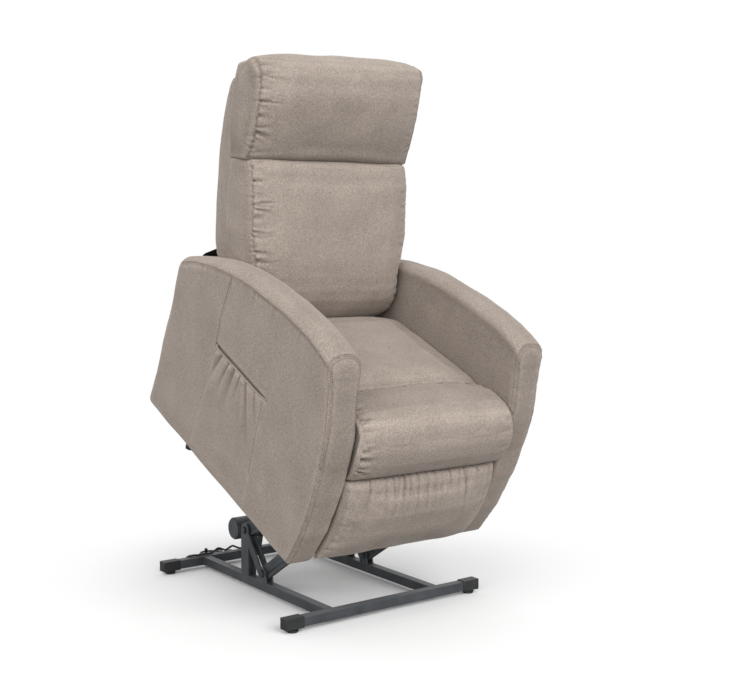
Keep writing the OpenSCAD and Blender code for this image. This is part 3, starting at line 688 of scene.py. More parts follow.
class RECLINER_OT_stage(bpy.types.Operator):
    """Adds the floor, the soft light and the camera"""

    bl_idname = "recliner.stage"
    bl_label = "Stage"

    def execute(self, context):
        scene = context.scene
        # The photographer's place and lens, solved from straight edges in the photo.
        camera = link("camera", bpy.data.cameras.new("camera"))
        camera.location = (-1.7703, -2.5821, 0.9022)
        camera.rotation_euler = (math.radians(90 - 3.74), 0, math.radians(-36.34))
        camera.data.lens, camera.data.sensor_width = 55.59, 36
        scene.camera = camera
        # Broad suns stand for large studio panels: height, way round from the front, softness and strength.
        for name, height, way, soft, strength in (("front", 28, 4, 45, 2.5), ("side", 24, -72, 45, 1.8)):
            lamp = link(name, bpy.data.lights.new(name, "SUN"))
            lamp.data.angle, lamp.data.energy = math.radians(soft), strength
            lamp.rotation_euler = (math.radians(90 - height), 0, math.radians(way))
        world = bpy.data.worlds.new("studio")
        scene.world = world
        world.use_nodes = True
        tree = world.node_tree
        tree.nodes.clear()
        ray = node(tree, "ShaderNodeLightPath")
        seen = maths(tree, "MAXIMUM", ray.outputs["Is Camera Ray"], ray.outputs["Is Glossy Ray"])
        seen = maths(tree, "MAXIMUM", seen, ray.outputs["Is Transmission Ray"])
        strength = remap(tree, seen, 0.92, 1)
        sky = node(tree, "ShaderNodeBackground", {"Color": (1, 1, 1, 1)}, {"Strength": strength})
        node(tree, "ShaderNodeOutputWorld", links={"Surface": sky.outputs[0]})
        build = bmesh.new()
        bmesh.ops.create_grid(build, x_segments=8, y_segments=8, size=9)
        floor = link("floor", mesh_of(build, "floor"))
        material, tree, at = begin("matt_white_studio_floor")
        ray = node(tree, "ShaderNodeLightPath")
        far = node(tree, "ShaderNodeVectorMath", {}, {0: at}, operation="LENGTH")
        # The floor turns into plain white between these distances from the chair.
        fade = remap(tree, far.outputs["Value"], 0, 1, (0.45, 1.0), interpolation_type="SMOOTHSTEP")
        blank = maths(tree, "MULTIPLY", fade, ray.outputs["Is Camera Ray"])
        # The camera sees a pale floor; the chair gets only the light of a grey one.
        tint = blend(tree, linear("909090"), linear("DEDEDE"), ray.outputs["Is Camera Ray"])
        paint = node(tree, "ShaderNodeBsdfDiffuse", {}, {"Color": tint})
        white = node(tree, "ShaderNodeEmission", {"Color": (1, 1, 1, 1), "Strength": 1.0})
        shown = {0: blank, 1: paint.outputs[0], 2: white.outputs[0]}
        close(tree, node(tree, "ShaderNodeMixShader", {}, shown))
        floor.data.materials.append(material)
        scene.view_settings.view_transform = "Standard"
        return {"FINISHED"}


class RECLINER_OT_cable(bpy.types.Operator):
    """Lays the motor cable over the rear tube and winds its spare length into a coil"""

    bl_idname = "recliner.cable"
    bl_label = "Motor Cable"

    def execute(self, context):
        # The route in millimetres from the base's middle, which lies this far behind the origin.
        base_middle = 79.5
        route = [(-30, 300, 68), (-34, 310, 54), (-42, 322, 44.5), (-54, 332, 41), (-64, 337, 45),
                 (-76, 339, 49.5), (-88, 338.5, 45.5), (-100, 338, 41), (-112, 338.5, 45.5),
                 (-124, 339, 49.5), (-136, 338, 45), (-147, 337, 40.2), (-160, 336, 39.6),
                 (-180, 336, 39.6), (-196, 337, 39.6), (-210, 341, 40), (-221, 350, 36), (-226, 358, 26),
                 (-222, 364, 15), (-209, 368.5, 7.5), (-191, 371, 4), (-170, 368, 3.2), (-148, 363.5, 3.4)]
        line = [Vector((x / 1000, y / 1000 + base_middle / 1000, z / 1000)) for x, y, z in route]
        middle, radius, turns, steps = Vector((-0.120, 0.4715, 0)), 0.033, 3.5, 38
        lowest, rise_per_turn = 0.0032, 0.0068
        # The cable meets the coil's first turn along it, three steps in.
        for i in range(3, steps + 1):
            turn = math.pi + 2 * math.pi * turns * i / steps
            line.append(middle + Vector((radius * math.cos(turn), radius * math.sin(turn),
                                         lowest + rise_per_turn * turns * i / steps)))
        tail = ((34, 14, 26.8), (38, 28, 20), (48, 34, 10), (62, 34, 7))
        line += [middle + Vector(step) / 1000 for step in tail]
        data = bpy.data.curves.new("motor_cable", "CURVE")
        data.dimensions = "3D"
        data.bevel_depth, data.bevel_resolution, data.resolution_u, data.use_fill_caps = 0.003, 3, 6, True
        spline = data.splines.new("BEZIER")
        spline.bezier_points.add(len(line) - 1)
        for bead, spot in zip(spline.bezier_points, line):
            bead.co = spot
            bead.handle_left_type = bead.handle_right_type = "AUTO"
        data.materials.append(finish("soft_pvc_jacket_black"))
        cable = link("motor_cable", data)
        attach(cable, "base")
        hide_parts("cable")
        return {"FINISHED"}


class RECLINER_OT_seat(bpy.types.Operator):
    """Stuffs the seat cushion, with its cross seam and drawn-in front roll"""

    bl_idname = "recliner.seat"
    bl_label = "Seat Cushion"

    def execute(self, context):
        sizes = context.scene.recliner_sizes
        cross_at, half = 0.731, 0.235

        def held(u, v):
            """On the seat's box, along the cross seam and below the back."""
            return ((v < 0.310) & (u < 0.84)) | ((np.abs(u - cross_at) < 0.006) & (v > 0.4)) | (u < 0.30)

        seat = stuffed("seat_cushion_cover", "seat_cushion", CHAIR, 0.0066, 3, held)
        place, normal = points(seat)
        # The roll keeps its form to its ends, where the plain solid is drawn in.
        share = np.clip(np.abs(place[:, 0]) / 0.238, 0, 1)
        wider = (1 - 0.17 * share**26) / (1 - 0.3 * share**14) - 1
        # It is drawn in more at the chair's right.
        wider *= np.where(place[:, 0] < 0, 0.3, 1)
        place[:, 1] += wider * np.minimum(0, place[:, 1] + 0.84)
        place[:, 2] += wider * np.maximum(0, place[:, 2] - 0.335)
        end = np.clip((np.abs(place[:, 0]) - 0.15) / 0.09, 0, 1)
        place[:, 0] *= 1 + 0.07 * end * end
        # The roll's lower edge hangs down to the foot pad.
        place[:, 2] -= 0.008 * ease(-place[:, 1], 0.86, 0.895) * (1 - ease(place[:, 2], 0.285, 0.34))
        top = place[:, 2] > 0.37
        place += normal * ripple(place, 3, 0.11, 0.0011) * top[:, None]
        put(seat, place)
        across = np.linspace(-0.226, 0.226, 13)
        cross = seam(seat, [(x, -cross_at - 0.004 * math.cos(x * 6.6), 0.45) for x in across])
        place, normal = points(seat)
        sew(place, normal, cross, sizes.seam_depth * 1.7, 0.007)
        gather(place, normal, cross, (0, 1, 0), 11, 0.03, (0.025, 0.07), sizes.gather_depth * 0.45, 0.007)
        gather(place, normal, cross, (0, -1, 0), 12, 0.026, (0.02, 0.06), sizes.gather_depth * 0.45, 0.007)
        roll_end = ((0.745, 0.43), (0.80, 0.438), (0.853, 0.434), (0.886, 0.416), (0.905, 0.39),
                    (0.916, 0.35), (0.914, 0.315), (0.90, 0.285))
        seat_end = (0.32, 0.36, 0.42, 0.5, 0.6, 0.68, 0.72)
        for side in (-1, 1):
            roll = seam(seat, [(side * half, -u, v) for u, v in roll_end])
            gather(place, normal, roll, (-side, 0, 0), 20 + side, 0.014, (0.03, 0.075),
                   sizes.gather_depth * (1.5 if side < 0 else 0.4), 0.005)
            edge = seam(seat, [(side * half, -u, 0.43) for u in seat_end])
            gather(place, normal, edge, (-side, 0, 0), 24 + side, 0.024, (0.015, 0.045),
                   sizes.gather_depth * 0.6, 0.005)
        # The roll spreads a little in front of the facings; behind them the arms hold the sides in.
        limit = 0.2388 + 0.008 * np.clip((-place[:, 1] - 0.886) / 0.012, 0, 1)
        place[:, 0] = np.clip(place[:, 0], -limit, limit)
        put(seat, place)
        stitch(seat, cross, 0.007, CHAIR, "chair")
        stitch(seat, cross, -0.007, CHAIR, "chair")
        # Painted highlight along the roll's brow, painted shade on the flat behind it and on its right end.
        u, v = -place[:, 1], place[:, 2]
        roll_highlight = bell(v, 0.411, 0.009) * ease(u, 0.85, 0.88)
        flat = ease(u, 0.74, 0.76) * (1 - ease(u, 0.84, 0.87)) * ease(v, 0.40, 0.42)
        tucked_shade = ease(-normal[:, 0], 0.4, 0.8) * ease(u, 0.85, 0.88)
        upholster(seat, CHAIR, "chair", ["seat_cushion"], 0.45 * flat - 0.65 * roll_highlight + 0.9 * tucked_shade)
        return {"FINISHED"}


class RECLINER_OT_foot_pad(bpy.types.Operator):
    """Stuffs the foot pad and presses in the pleats below its upper seam"""

    bl_idname = "recliner.foot_pad"
    bl_label = "Foot Pad"

    def execute(self, context):
        sizes = context.scene.recliner_sizes
        # The pad is stapled to its board behind this plane.
        board = 0.846
        pad = stuffed("foot_pad_cover", "foot_pad", CHAIR, 0.005, 4, lambda u, v: u < board)
        place, _ = points(pad)
        # The front stays nearly flat to its ends, where the plain solid is drawn in.
        share = np.clip(np.abs(place[:, 0]) / 0.238, 0, 1)
        depth = np.maximum(0, -place[:, 1] - board)
        drawn = np.where(place[:, 0] < 0, 0.5 * share**22, 0.22 * share**40)
        place[:, 1] -= depth * ((1 - drawn) / (1 - 0.55 * share**14) - 1)
        place[:, 0] *= 1 + 0.045 * share**6
        place[:, 2] += 0.004 * ease(place[:, 2], 0.225, 0.25)
        put(pad, place)
        place, normal = points(pad)
        across = np.linspace(-0.225, 0.225, 12)
        upper = seam(pad, [(x, -0.886, 0.262) for x in across])
        pleat = sizes.pleat_depth
        gather(place, normal, upper, (0, 0, -1), 31, 0.02, (0.05, 0.17), pleat * 0.65, 0.005, 0.12)
        gather(place, normal, upper, (0, 0, -1), 35, 0.014, (0.02, 0.09), pleat * 0.5, 0.0042, 0.2)
        pad_end = ((0.893, 0.235), (0.9, 0.2), (0.902, 0.165), (0.893, 0.11), (0.878, 0.065), (0.862, 0.035))
        for side in (-1, 1):
            edge = seam(pad, [(side * 0.235, -u, v) for u, v in pad_end])
            sew(place, normal, edge, sizes.seam_depth * 0.2, 0.005)
            gather(place, normal, edge, (-side, 0, 0), 33 + side, 0.02, (0.012, 0.035),
                   sizes.gather_depth * 0.3, 0.005)
        place += normal * ripple(place, 5, 0.09, 0.0008)
        place[:, 0] = np.clip(place[:, 0], -0.2385, 0.2385)
        put(pad, place)
        # Painted light pales the pad towards its lower edge, where it turns under; painted shade darkens its
        # right-hand end.
        brushed = -0.7 * (1 - ease(place[:, 2], 0.05, 0.16)) + 0.7 * ease(-normal[:, 0], 0.3, 0.8)
        upholster(pad, CHAIR, "footrest", ["foot_pad"], brushed)
        return {"FINISHED"}


class RECLINER_OT_back(bpy.types.Operator):
    """Stuffs the back cushion and the head pillow, gathered along their side seams"""

    bl_idname = "recliner.back"
    bl_label = "Back Cushions"

    def execute(self, context):
        sizes = context.scene.recliner_sizes
        cushion = stuffed("back_cushion_cover", "back_cushion", BACK, 0.0056, 30,
                          lambda n, w: (n < -0.045) | (w < -0.05), 50)
        place, _ = points(cushion)
        n, w = -place[:, 1], place[:, 2]
        place[:, 1] -= 0.016 * ease(n, 0, 0.04) * (1 - ease(w, 0.0, 0.1))
        # The two cushions press on each other, so no light shows between them.
        place[:, 2] += 0.006 * ease(w, 0.345, 0.375)
        put(cushion, place)
        dark = self.edge(cushion, BACK_SEAM, 41, sizes)
        hang(cushion)
        # Painted shade lies along the cushion's side seams.
        upholster(cushion, BACK, "back", ["back_cushion"], dark)
        pillow = stuffed("head_pillow_cover", "head_pillow", BACK, 0.0052, 80,
                         lambda n, w: (n < -0.05) & (w < 0.6), 80)
        place, _ = points(pillow)
        x, n, w = np.abs(place[:, 0]), -place[:, 1], place[:, 2]
        # The upper front corners are drawn out, and the ends bulge.
        corner = bell(x, 0.26, 0.035) * bell(n, 0.066, 0.035) * bell(w, 0.636, 0.03)
        belly = ease(x, 0.2, 0.25) * (0.005 + 0.005 * bell(n, 0.01, 0.04))
        place[:, 0] += np.sign(place[:, 0]) * (0.013 * corner + belly)
        place[:, 2] += 0.006 * corner - 0.006 * (1 - ease(w, 0.4, 0.43))
        # Its upper rear corners are round.
        rear = bell(x, 0.27, 0.03) * bell(n, -0.02, 0.045) * bell(w, 0.65, 0.03)
        place[:, 0] -= np.sign(place[:, 0]) * 0.012 * rear
        place[:, 2] -= 0.008 * rear
        place[:, 1] += 0.008 * ease(n, 0, 0.05) * (1 - ease(w, 0.39, 0.56))
        put(pillow, place)
        dark = self.edge(pillow, PILLOW_SEAM, 51, sizes)
        hang(pillow)
        # Painted highlight on the upper middle, and painted shade on the ends, along the seams and where the
        # pillow tucks under.
        pillow_highlight = bell(w, 0.575, 0.045) * ease(n, 0.06, 0.09)
        dark = dark + 0.3 * ease(x, 0.25, 0.262) + 0.35 * (1 - ease(w, 0.42, 0.52))
        upholster(pillow, BACK, "back", ["head_pillow"], dark - 0.3 * pillow_highlight)
        return {"FINISHED"}

    def edge(self, obj, line, seed, sizes):
        """Sews both side seams, gathers the front along them and gives the painted shade along the seams."""
        place, normal = points(obj)
        place += normal * ripple(place, seed, 0.12, 0.0013)
        put(obj, place)
        dark = 0.0
        for side in (-1, 1):
            sewn = seam(obj, [(side * back_half(w), -n, w) for w, n in line])
            place, normal = points(obj)
            sew(place, normal, sewn, sizes.seam_depth * 0.5, 0.0038)
            # The cloth is drawn up more on the chair's right.
            drawn = sizes.gather_depth * (1.6 if side < 0 else 0.6)
            gather(place, normal, sewn, (0, -1, 0), seed + side, 0.017, (0.025, 0.085), drawn, 0.0045)
            gather(place, normal, sewn, (0, 1, 0), seed + 4 + side, 0.019, (0.015, 0.045),
                   drawn * 0.4, 0.0042)
            dark = dark + shade_seam(place, sewn, 0.8, 0.005)
            put(obj, place)
        return dark


class RECLINER_OT_shell(bpy.types.Operator):
    """Covers the back of the backrest and hangs the lining skirt below it"""

    bl_idname = "recliner.shell"
    bl_label = "Back Cover and Skirt"

    def execute(self, context):
        shell = cover("back_shell_cover", ["back_shell"], BACK, 0.0085, 3)
        refine(shell)
        place, normal = points(shell)
        place += normal * ripple(place, 61, 0.16, 0.0011)
        put(shell, place)
        hang(shell)
        upholster(shell, BACK, "back", ["back_shell"])
        fall = ((56.2, 511.4), (18, 486), (-20, 456), (-33, 405), (-22, 345))
        line = smooth_line([(0, -u / 1000, v / 1000) for u, v in fall], 0.006)
        width, columns = 0.43, 72
        grid = []
        for i, (_, y, z) in enumerate(line):
            # The lining waves more the further it hangs.
            wave = 0.0018 * i / (len(line) - 1)
            grid.append([(x, y + wave * math.sin(x * 46 + 1.1) + 0.001 * math.sin(x * 97), z)
                         for x in np.linspace(-width / 2, width / 2, columns)])
        skirt = panel("rear_skirt_lining", grid, 0.0018)
        dress(skirt, CHAIR, "back", ["rear_skirt"], "spun_bonded_lining_black")
        return {"FINISHED"}


class RECLINER_OT_arms(bpy.types.Operator):
    """Covers the arms and their front facings, with the top band's seams"""

    bl_idname = "recliner.arms"
    bl_label = "Arms and Facings"

    def execute(self, context):
        sizes = context.scene.recliner_sizes
        for name, side in (("right", -1), ("left", 1)):
            solids = [f"arm_{name}", f"facing_{name}"]
            arm = cover(f"arm_{name}_cover", solids, CHAIR, 0.0076, 2)
            refine(arm)
            place, normal = points(arm)
            u, v, x = -place[:, 1], place[:, 2], side * place[:, 0]
            outer = ease(x, 0.28, 0.30) * ease(np.abs(normal[:, 0]), 0.3, 0.9)
            swell = np.sin(np.pi * np.clip((u - 0.06) / 0.78, 0, 1)) * np.sin(np.pi * np.clip(v / 0.56, 0, 1))
            padding = ease(v - arm_top(u), -0.11, -0.01) * ease(u, 0.1, 0.35) * ease(normal[:, 2], -0.1, 0.5)
            place += normal * (0.0028 * swell * outer + 0.006 * padding)[:, None]
            loose = np.maximum(outer, ease(v, 0.48, 0.54))
            place += normal * ripple(place, 70 + side, 0.13, 0.0012) * loose[:, None]
            place[:, 1] -= 0.006 * np.sin(np.pi * np.clip((v - 0.03) / 0.44, 0, 1)) * (1 - ease(u, 0.03, 0.2))
            # The front edge bows evenly, a little ahead of its drawn corners.
            bowed = np.mean([arm_front(v + step) for step in np.linspace(-0.05, 0.05, 11)], axis=0) + 0.002
            bowed = (bowed - arm_front(v)) * ease(u, 0.76, 0.83)
            place[:, 1] -= bowed * ease(v, 0.02, 0.1) * (1 - ease(v, 0.5, 0.55))
            put(arm, place)
            forward = np.linspace(0.075, 0.826, 20)
            band = seam(arm, [(side * arm_face(arm_top(f) - 0.025), -f, arm_top(f) - 0.026) for f in forward])
            height = np.linspace(0.012, 0.54, 18)
            front = [(side * (arm_face(v) - 0.003), 0.004 - arm_front(v), v) for v in height]
            cap = [(side * across, -u, v) for across, u, v in ((0.327, 0.831, 0.562), (0.305, 0.829, 0.572),
                                                               (0.272, 0.829, 0.572), (0.252, 0.836, 0.556))]
            inside = [(side * 0.249, 0.004 - arm_front(v), v) for v in np.linspace(0.53, 0.40, 6)]
            facing = seam(arm, front + cap + inside)
            place, normal = points(arm)
            sew(place, normal, band, sizes.seam_depth * 0.4, 0.004)
            sew(place, normal, facing, sizes.seam_depth * 0.5, 0.004)
            if side < 0:
                # The pocket's mouth and the seam that rises from it.
                rise_line = ((0.337, 0.352), (0.339, 0.40), (0.342, 0.45), (0.347, 0.50), (0.354, 0.550))
                rise = seam(arm, [(-arm_face(v), -u, v) for u, v in rise_line])
                sew(place, normal, rise, sizes.seam_depth * 0.22, 0.004)
                mouth_line = ((0.334, 0.3545), (0.475, 0.348), (0.614, 0.3405))
                mouth = seam(arm, [(-arm_face(v), -u, v) for u, v in mouth_line])
                sew(place, normal, mouth, 0.007, 0.0038)
            crease = sizes.gather_depth
            gather(place, normal, band, (0, 0, -1), 81 + side, 0.04, (0.02, 0.07), crease * 0.35, 0.007)
            gather(place, normal, facing, (0, 1, 0), 85 + side, 0.03, (0.012, 0.03), crease * 0.3, 0.006)
            put(arm, place)
            stitch(arm, band, 0.006, CHAIR, "chair")
            if side < 0:
                stitch(arm, rise, 0.006, CHAIR, "chair")
            stitch(arm, facing, 0.0055, CHAIR, "chair")
            stitch(arm, facing, -0.0055, CHAIR, "chair")
            # Painted shade darkens the top, the facing's front and the lower edge where the cloth is pulled
            # under, and lies beside the facing seam.
            facing_shade = ease(-normal[:, 1], 0.4, 0.8) * ease(v, 0.15, 0.35)
            painted_shade = np.maximum(ease(normal[:, 2], 0.4, 0.8), facing_shade)
            painted_shade = np.maximum(painted_shade, 0.7 * (1 - ease(v, 0.03, 0.08)) * (1 - ease(u, 0.55, 0.75)))
            if side > 0:
                # Painted shade also darkens the left arm's inner side.
                painted_shade = np.maximum(painted_shade, ease(-normal[:, 0], 0.5, 0.9))
            dark = 0.45 * painted_shade + shade_seam(place, facing, 0.8, 0.004)
            upholster(arm, CHAIR, "chair", solids, dark)
        return {"FINISHED"}


class RECLINER_OT_pocket(bpy.types.Operator):
    """Gathers the side pocket's panel on its slanted mouth"""

    bl_idname = "recliner.pocket"
    bl_label = "Side Pocket"

    def execute(self, context):
        sizes = context.scene.recliner_sizes
        rng = np.random.default_rng(7)
        # Each fold fans down from the mouth: place along it, length, depth, slant forward and width.
        folds = [(0.06, 0.12, 1.2, -0.5, 0.022), (0.18, 0.19, 2.0, -0.4, 0.030),
                 (0.33, 0.13, 1.8, -0.25, 0.024), (0.43, 0.17, 2.1, -0.12, 0.030),
                 (0.55, 0.09, 1.4, -0.1, 0.020), (0.66, 0.19, 2.2, 0.3, 0.026),
                 (0.82, 0.12, 1.1, 0.35, 0.024)]
        ranges = ((0.04, 0.96), (0.03, 0.06), (0.2, 0.5), (-0.3, 0.3), (0.008, 0.014))
        folds += [tuple(rng.uniform(*limits) for limits in ranges) for _ in range(8)]
        columns, rows = 180, 120
        # The panel's edges, and how far its mouth falls towards the front.
        low, top, front, fall = 0.013, 0.3545, 0.612, 0.014
        back_low, back_top, height = 0.270, 0.336, 0.34
        # Rays find the arm's face from outside it, below the drawn-in mouth.
        outside, mouth = -0.6, 0.338
        grid = []
        arm = bpy.data.objects["arm_right_cover"]
        skin = BVHTree.FromObject(arm, context.evaluated_depsgraph_get())
        across = (CHAIR.to_3x3() @ Vector((1, 0, 0))).normalized()
        for j in range(rows + 1):
            b = j / rows
            line = []
            for i in range(columns + 1):
                a = i / columns
                back = back_low + (back_top - back_low) * b
                u = back + (front - back) * a
                v = low + b * (top - fall * a - low)
                down = (1 - b) * height
                fold = 0.0
                for middle, reach, size, slant, wide in folds:
                    off = (a - middle - slant * down / 0.28) / (wide * (1 + 9 * down))
                    fade = max(0.0, 1 - down / reach) ** 1.1 * min(1.0, down / 0.012)
                    fold += size * fade * (0.7 * math.exp(-(off / 2.2) ** 2) - math.exp(-off * off))
                # The panel's edges dip into the arm's cover, where they are sewn down.
                rim = ease(min(a, 1 - a, b), 0.0, 0.09)
                out = -0.0012 + 0.0021 * ease(min(a, 2 * (1 - a), b), 0.0, 0.07)
                out += rim * (0.0035 * b**4 + sizes.pleat_depth * fold)
                spot = skin.ray_cast(CHAIR @ Vector((outside, -u, min(v, mouth))), across)[0]
                x = (CHAIR.inverted() @ spot).x
                line.append(Vector((x - max(-0.0012, out), -u, v)))
            grid.append(line)
        pocket = panel("side_pocket_panel", grid, 0.0012)
        # Painted shade in the panel's folds and a painted highlight on its ridges.
        paint_fold_shade(pocket)
        # One row of stitches runs down beside the front edge.
        sewn = [line[columns - 6] for line in grid[rows // 3:-4]]
        stitch(pocket, np.array(sewn), 0.0, CHAIR, "chair")
        hem = strands("side_pocket_hem", [grid[-1]])
        hem.data.bevel_depth, hem.data.bevel_resolution, hem.data.use_fill_caps = 0.0024, 3, True
        hem = meshed(hem)
        dress(hem, CHAIR, "chair", [], CLOTH)
        dress(pocket, CHAIR, "chair", ["side_pocket"], CLOTH)
        return {"FINISHED"}


class RECLINER_OT_webbing(bpy.types.Operator):
    """Stretches the elastic straps across the seat box and the back frame"""

    bl_idname = "recliner.webbing"
    bl_label = "Webbing"

    def execute(self, context):
        along = np.linspace(0.12, 0.816, 30)
        sag = 0.3015 - 0.004 * np.sin(math.pi * (along - 0.12) / 0.696)
        seat = [[(0.0597 * (k - 2.5), -u, v) for u, v in zip(along, sag)] for k in range(6)]
        straps = self.straps("seat_webbing_straps", seat, (1, 0, 0), 0.022, CHAIR, "chair", "seat_webbing")
        across = np.linspace(-0.195, 0.195, 24)
        back = [[(x, 0.0585 + 0.003 * math.cos(x * 8), 0.06 + 0.07 * k) for x in across] for k in range(8)]
        straps = self.straps("back_webbing_straps", back, (0, 0, 1), 0.02, BACK, "back", "back_webbing")
        return {"FINISHED"}

    def straps(self, name, lines, across, half, place, body, cad):
        """One thin woven strap along each line, reaching half its width to each side."""
        thin = 0.001
        profile = ((-1, 0), (-0.94, 1), (-0.5, 1), (0, 1), (0.5, 1), (0.94, 1), (1, 0), (0.94, -1), (0.5, -1),
                   (0, -1), (-0.5, -1), (-0.94, -1))
        across = Vector(across)
        build = bmesh.new()
        strap_map = build.loops.layers.uv.new("strap")
        for line in lines:
            line = [Vector(q) for q in line]
            rings = []
            for i, q in enumerate(line):
                way = (line[min(i + 1, len(line) - 1)] - line[max(i - 1, 0)]).normalized()
                up = way.cross(across).normalized()
                rings.append([build.verts.new(q + across * half * s + up * thin * t) for s, t in profile])
            run = 0.0
            for k, (a, b) in enumerate(zip(rings, rings[1:])):
                far = run + (line[k + 1] - line[k]).length
                for i in range(len(profile)):
                    j = (i + 1) % len(profile)
                    face = build.faces.new((a[i], a[j], b[j], b[i]))
                    for loop, corner, spot in zip(face.loops, (i, j, j, i), (run, run, far, far)):
                        loop[strap_map].uv = (half * profile[corner][0], spot)
                run = far
            for ring in (rings[0], rings[-1]):
                build.faces.new(ring)
        bmesh.ops.recalc_face_normals(build, faces=build.faces)
        obj = link(name, mesh_of(build, name))
        dress(obj, place, body, [cad], "woven_elastic_webbing")
        return obj


class RECLINER_OT_frame_finish(bpy.types.Operator):
    """Gives the steel, plastic and board parts their rounded edges and finishes"""

    bl_idname = "recliner.frame_finish"
    bl_label = "Frame Finishes"

    def execute(self, context):
        sizes = context.scene.recliner_sizes
        finishes = {"base_steel": "powder_coated_steel_graphite", "bolts": "zinc_plated_steel_dark",
                    "black_plastic": "moulded_nylon_black", "motor_paint": "stoved_enamel_graphite",
                    "rod_steel": "drawn_steel_bright", "boards": "birch_plywood_sanded"}
        slots = {part["node"]: part["material_slot"] for part in frame["record"]["subparts"]}
        shading = self.edge_shading()
        for name, obj in NODES.items():
            material = finishes.get(slots.get(name))
            if material is None:
                continue
            obj.data.materials.clear()
            obj.data.materials.append(finish(material))
            shade = obj.modifiers.new("edges", "NODES")
            shade.node_group = shading
            if slots[name] in ("base_steel", "black_plastic", "motor_paint"):
                edge = obj.modifiers.new("rounded", "BEVEL")
                edge.width, edge.segments = sizes.edge_round, 2
                edge.limit_method, edge.angle_limit = "ANGLE", math.radians(40)
        return {"FINISHED"}

    def edge_shading(self):
        """A node tree that joins the loose triangles and shades them smooth up to 35 degrees."""
        tree = bpy.data.node_groups.new("smooth_up_to_edges", "GeometryNodeTree")
        tree.interface.new_socket("Geometry", in_out="INPUT", socket_type="NodeSocketGeometry")
        tree.interface.new_socket("Geometry", in_out="OUTPUT", socket_type="NodeSocketGeometry")
        come = node(tree, "NodeGroupInput")
        joined = node(tree, "GeometryNodeMergeByDistance", {"Distance": 1e-5}, {"Geometry": come.outputs[0]})
        angle = node(tree, "GeometryNodeInputMeshEdgeAngle")
        sharp = node(tree, "FunctionNodeCompare", {1: math.radians(35)}, {0: angle.outputs[0]},
                     data_type="FLOAT", operation="GREATER_THAN")
        smooth = node(tree, "GeometryNodeSetShadeSmooth", {"Shade Smooth": True}, {0: joined.outputs[0]},
                      domain="FACE")
        creased = node(tree, "GeometryNodeSetShadeSmooth", {"Shade Smooth": False},
                       {0: smooth.outputs[0], "Selection": sharp.outputs[0]}, domain="EDGE")
        node(tree, "NodeGroupOutput", links={0: creased.outputs[0]})
        return tree


class RECLINER_OT_stitching(bpy.types.Operator):
    """Sews the noted rows of stitches along the seams"""

    bl_idname = "recliner.stitching"
    bl_label = "Stitching"

    def execute(self, context):
        sizes = context.scene.recliner_sizes
        tree, sockets = bead_tree()
        for body, rows in STITCHED.items():
            rail = strands(f"stitches_{body}", rows)
            beads = rail.modifiers.new("stitches", "NODES")
            beads.node_group = tree
            beads[sockets["Pitch"]] = sizes.stitch_pitch
            beads[sockets["Width"]] = sizes.stitch_width
            beads[sockets["Length"]] = sizes.stitch_pitch * 0.66
            beads[sockets["Material"]] = finish("bonded_polyester_thread")
            thread = meshed(rail)
            thread.data.shade_smooth()
            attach(thread, body)
        return {"FINISHED"}


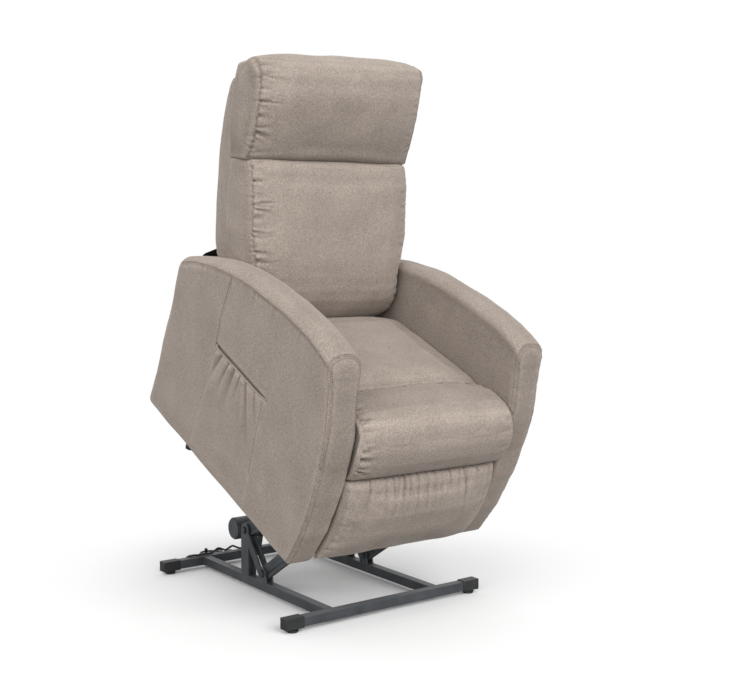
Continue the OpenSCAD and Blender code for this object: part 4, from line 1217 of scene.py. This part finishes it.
def bead_tree():
    """A node tree that strings small rounded beads along curves, as stitches."""
    tree = bpy.data.node_groups.new("beads_along_curves", "GeometryNodeTree")
    tree.interface.new_socket("Curves", in_out="INPUT", socket_type="NodeSocketGeometry")
    sockets = {}
    for name, start in (("Pitch", 0.006), ("Width", 0.001), ("Length", 0.004)):
        socket = tree.interface.new_socket(name, in_out="INPUT", socket_type="NodeSocketFloat")
        socket.default_value, socket.subtype = start, "DISTANCE"
        sockets[name] = socket.identifier
    sockets["Material"] = tree.interface.new_socket("Material", in_out="INPUT",
                                                    socket_type="NodeSocketMaterial").identifier
    tree.interface.new_socket("Mesh", in_out="OUTPUT", socket_type="NodeSocketGeometry")
    come = node(tree, "NodeGroupInput")
    spots = node(tree, "GeometryNodeCurveToPoints", {}, {"Curve": come.outputs["Curves"],
                                                         "Length": come.outputs["Pitch"]}, mode="LENGTH")
    bead = node(tree, "GeometryNodeMeshUVSphere", {"Segments": 6, "Rings": 4, "Radius": 0.5})
    size = node(tree, "ShaderNodeCombineXYZ", {}, {"X": come.outputs["Width"], "Y": come.outputs["Width"],
                                                   "Z": come.outputs["Length"]})
    along = node(tree, "FunctionNodeAlignRotationToVector", {}, {"Vector": spots.outputs["Tangent"]},
                 axis="Z")
    strung = node(tree, "GeometryNodeInstanceOnPoints", {},
                  {"Points": spots.outputs["Points"], "Instance": bead.outputs["Mesh"],
                   "Rotation": along.outputs[0], "Scale": size.outputs[0]})
    real = node(tree, "GeometryNodeRealizeInstances", {}, {0: strung.outputs[0]})
    painted = node(tree, "GeometryNodeSetMaterial", {}, {"Geometry": real.outputs[0],
                                                         "Material": come.outputs["Material"]})
    node(tree, "NodeGroupOutput", links={0: painted.outputs[0]})
    return tree, sockets


class RECLINER_PT_sidebar(bpy.types.Panel):
    """Lists the chair's sizes, colours and making steps"""

    bl_idname = "RECLINER_PT_sidebar"
    bl_label = "Lift Recliner"
    bl_space_type = "VIEW_3D"
    bl_region_type = "UI"
    bl_category = "Recliner"

    def draw(self, context):
        for group in (context.scene.recliner_sizes, context.scene.recliner_colours):
            for name in group.__annotations__:
                self.layout.prop(group, name)
        for step in STEPS:
            self.layout.operator(step.bl_idname)


STEPS = (RECLINER_OT_stage, RECLINER_OT_cable, RECLINER_OT_seat, RECLINER_OT_foot_pad, RECLINER_OT_back,
         RECLINER_OT_shell, RECLINER_OT_arms, RECLINER_OT_pocket, RECLINER_OT_webbing,
         RECLINER_OT_frame_finish, RECLINER_OT_stitching)
GROUPS = (RECLINER_PG_sizes, RECLINER_PG_colours)


def register():
    """Registers the classes and puts their settings on the scene."""
    for each in GROUPS + STEPS + (RECLINER_PT_sidebar,):
        bpy.utils.register_class(each)
    bpy.types.Scene.recliner_sizes = PointerProperty(type=RECLINER_PG_sizes)
    bpy.types.Scene.recliner_colours = PointerProperty(type=RECLINER_PG_colours)


def unregister():
    """Takes the settings and the classes away."""
    del bpy.types.Scene.recliner_colours
    del bpy.types.Scene.recliner_sizes
    for each in reversed(GROUPS + STEPS + (RECLINER_PT_sidebar,)):
        bpy.utils.unregister_class(each)


def main():
    """Makes the whole chair, step by step."""
    register()
    for step in STEPS:
        family, name = step.bl_idname.split(".")
        getattr(getattr(bpy.ops, family), name)()


if __name__ == "__main__":
    main()
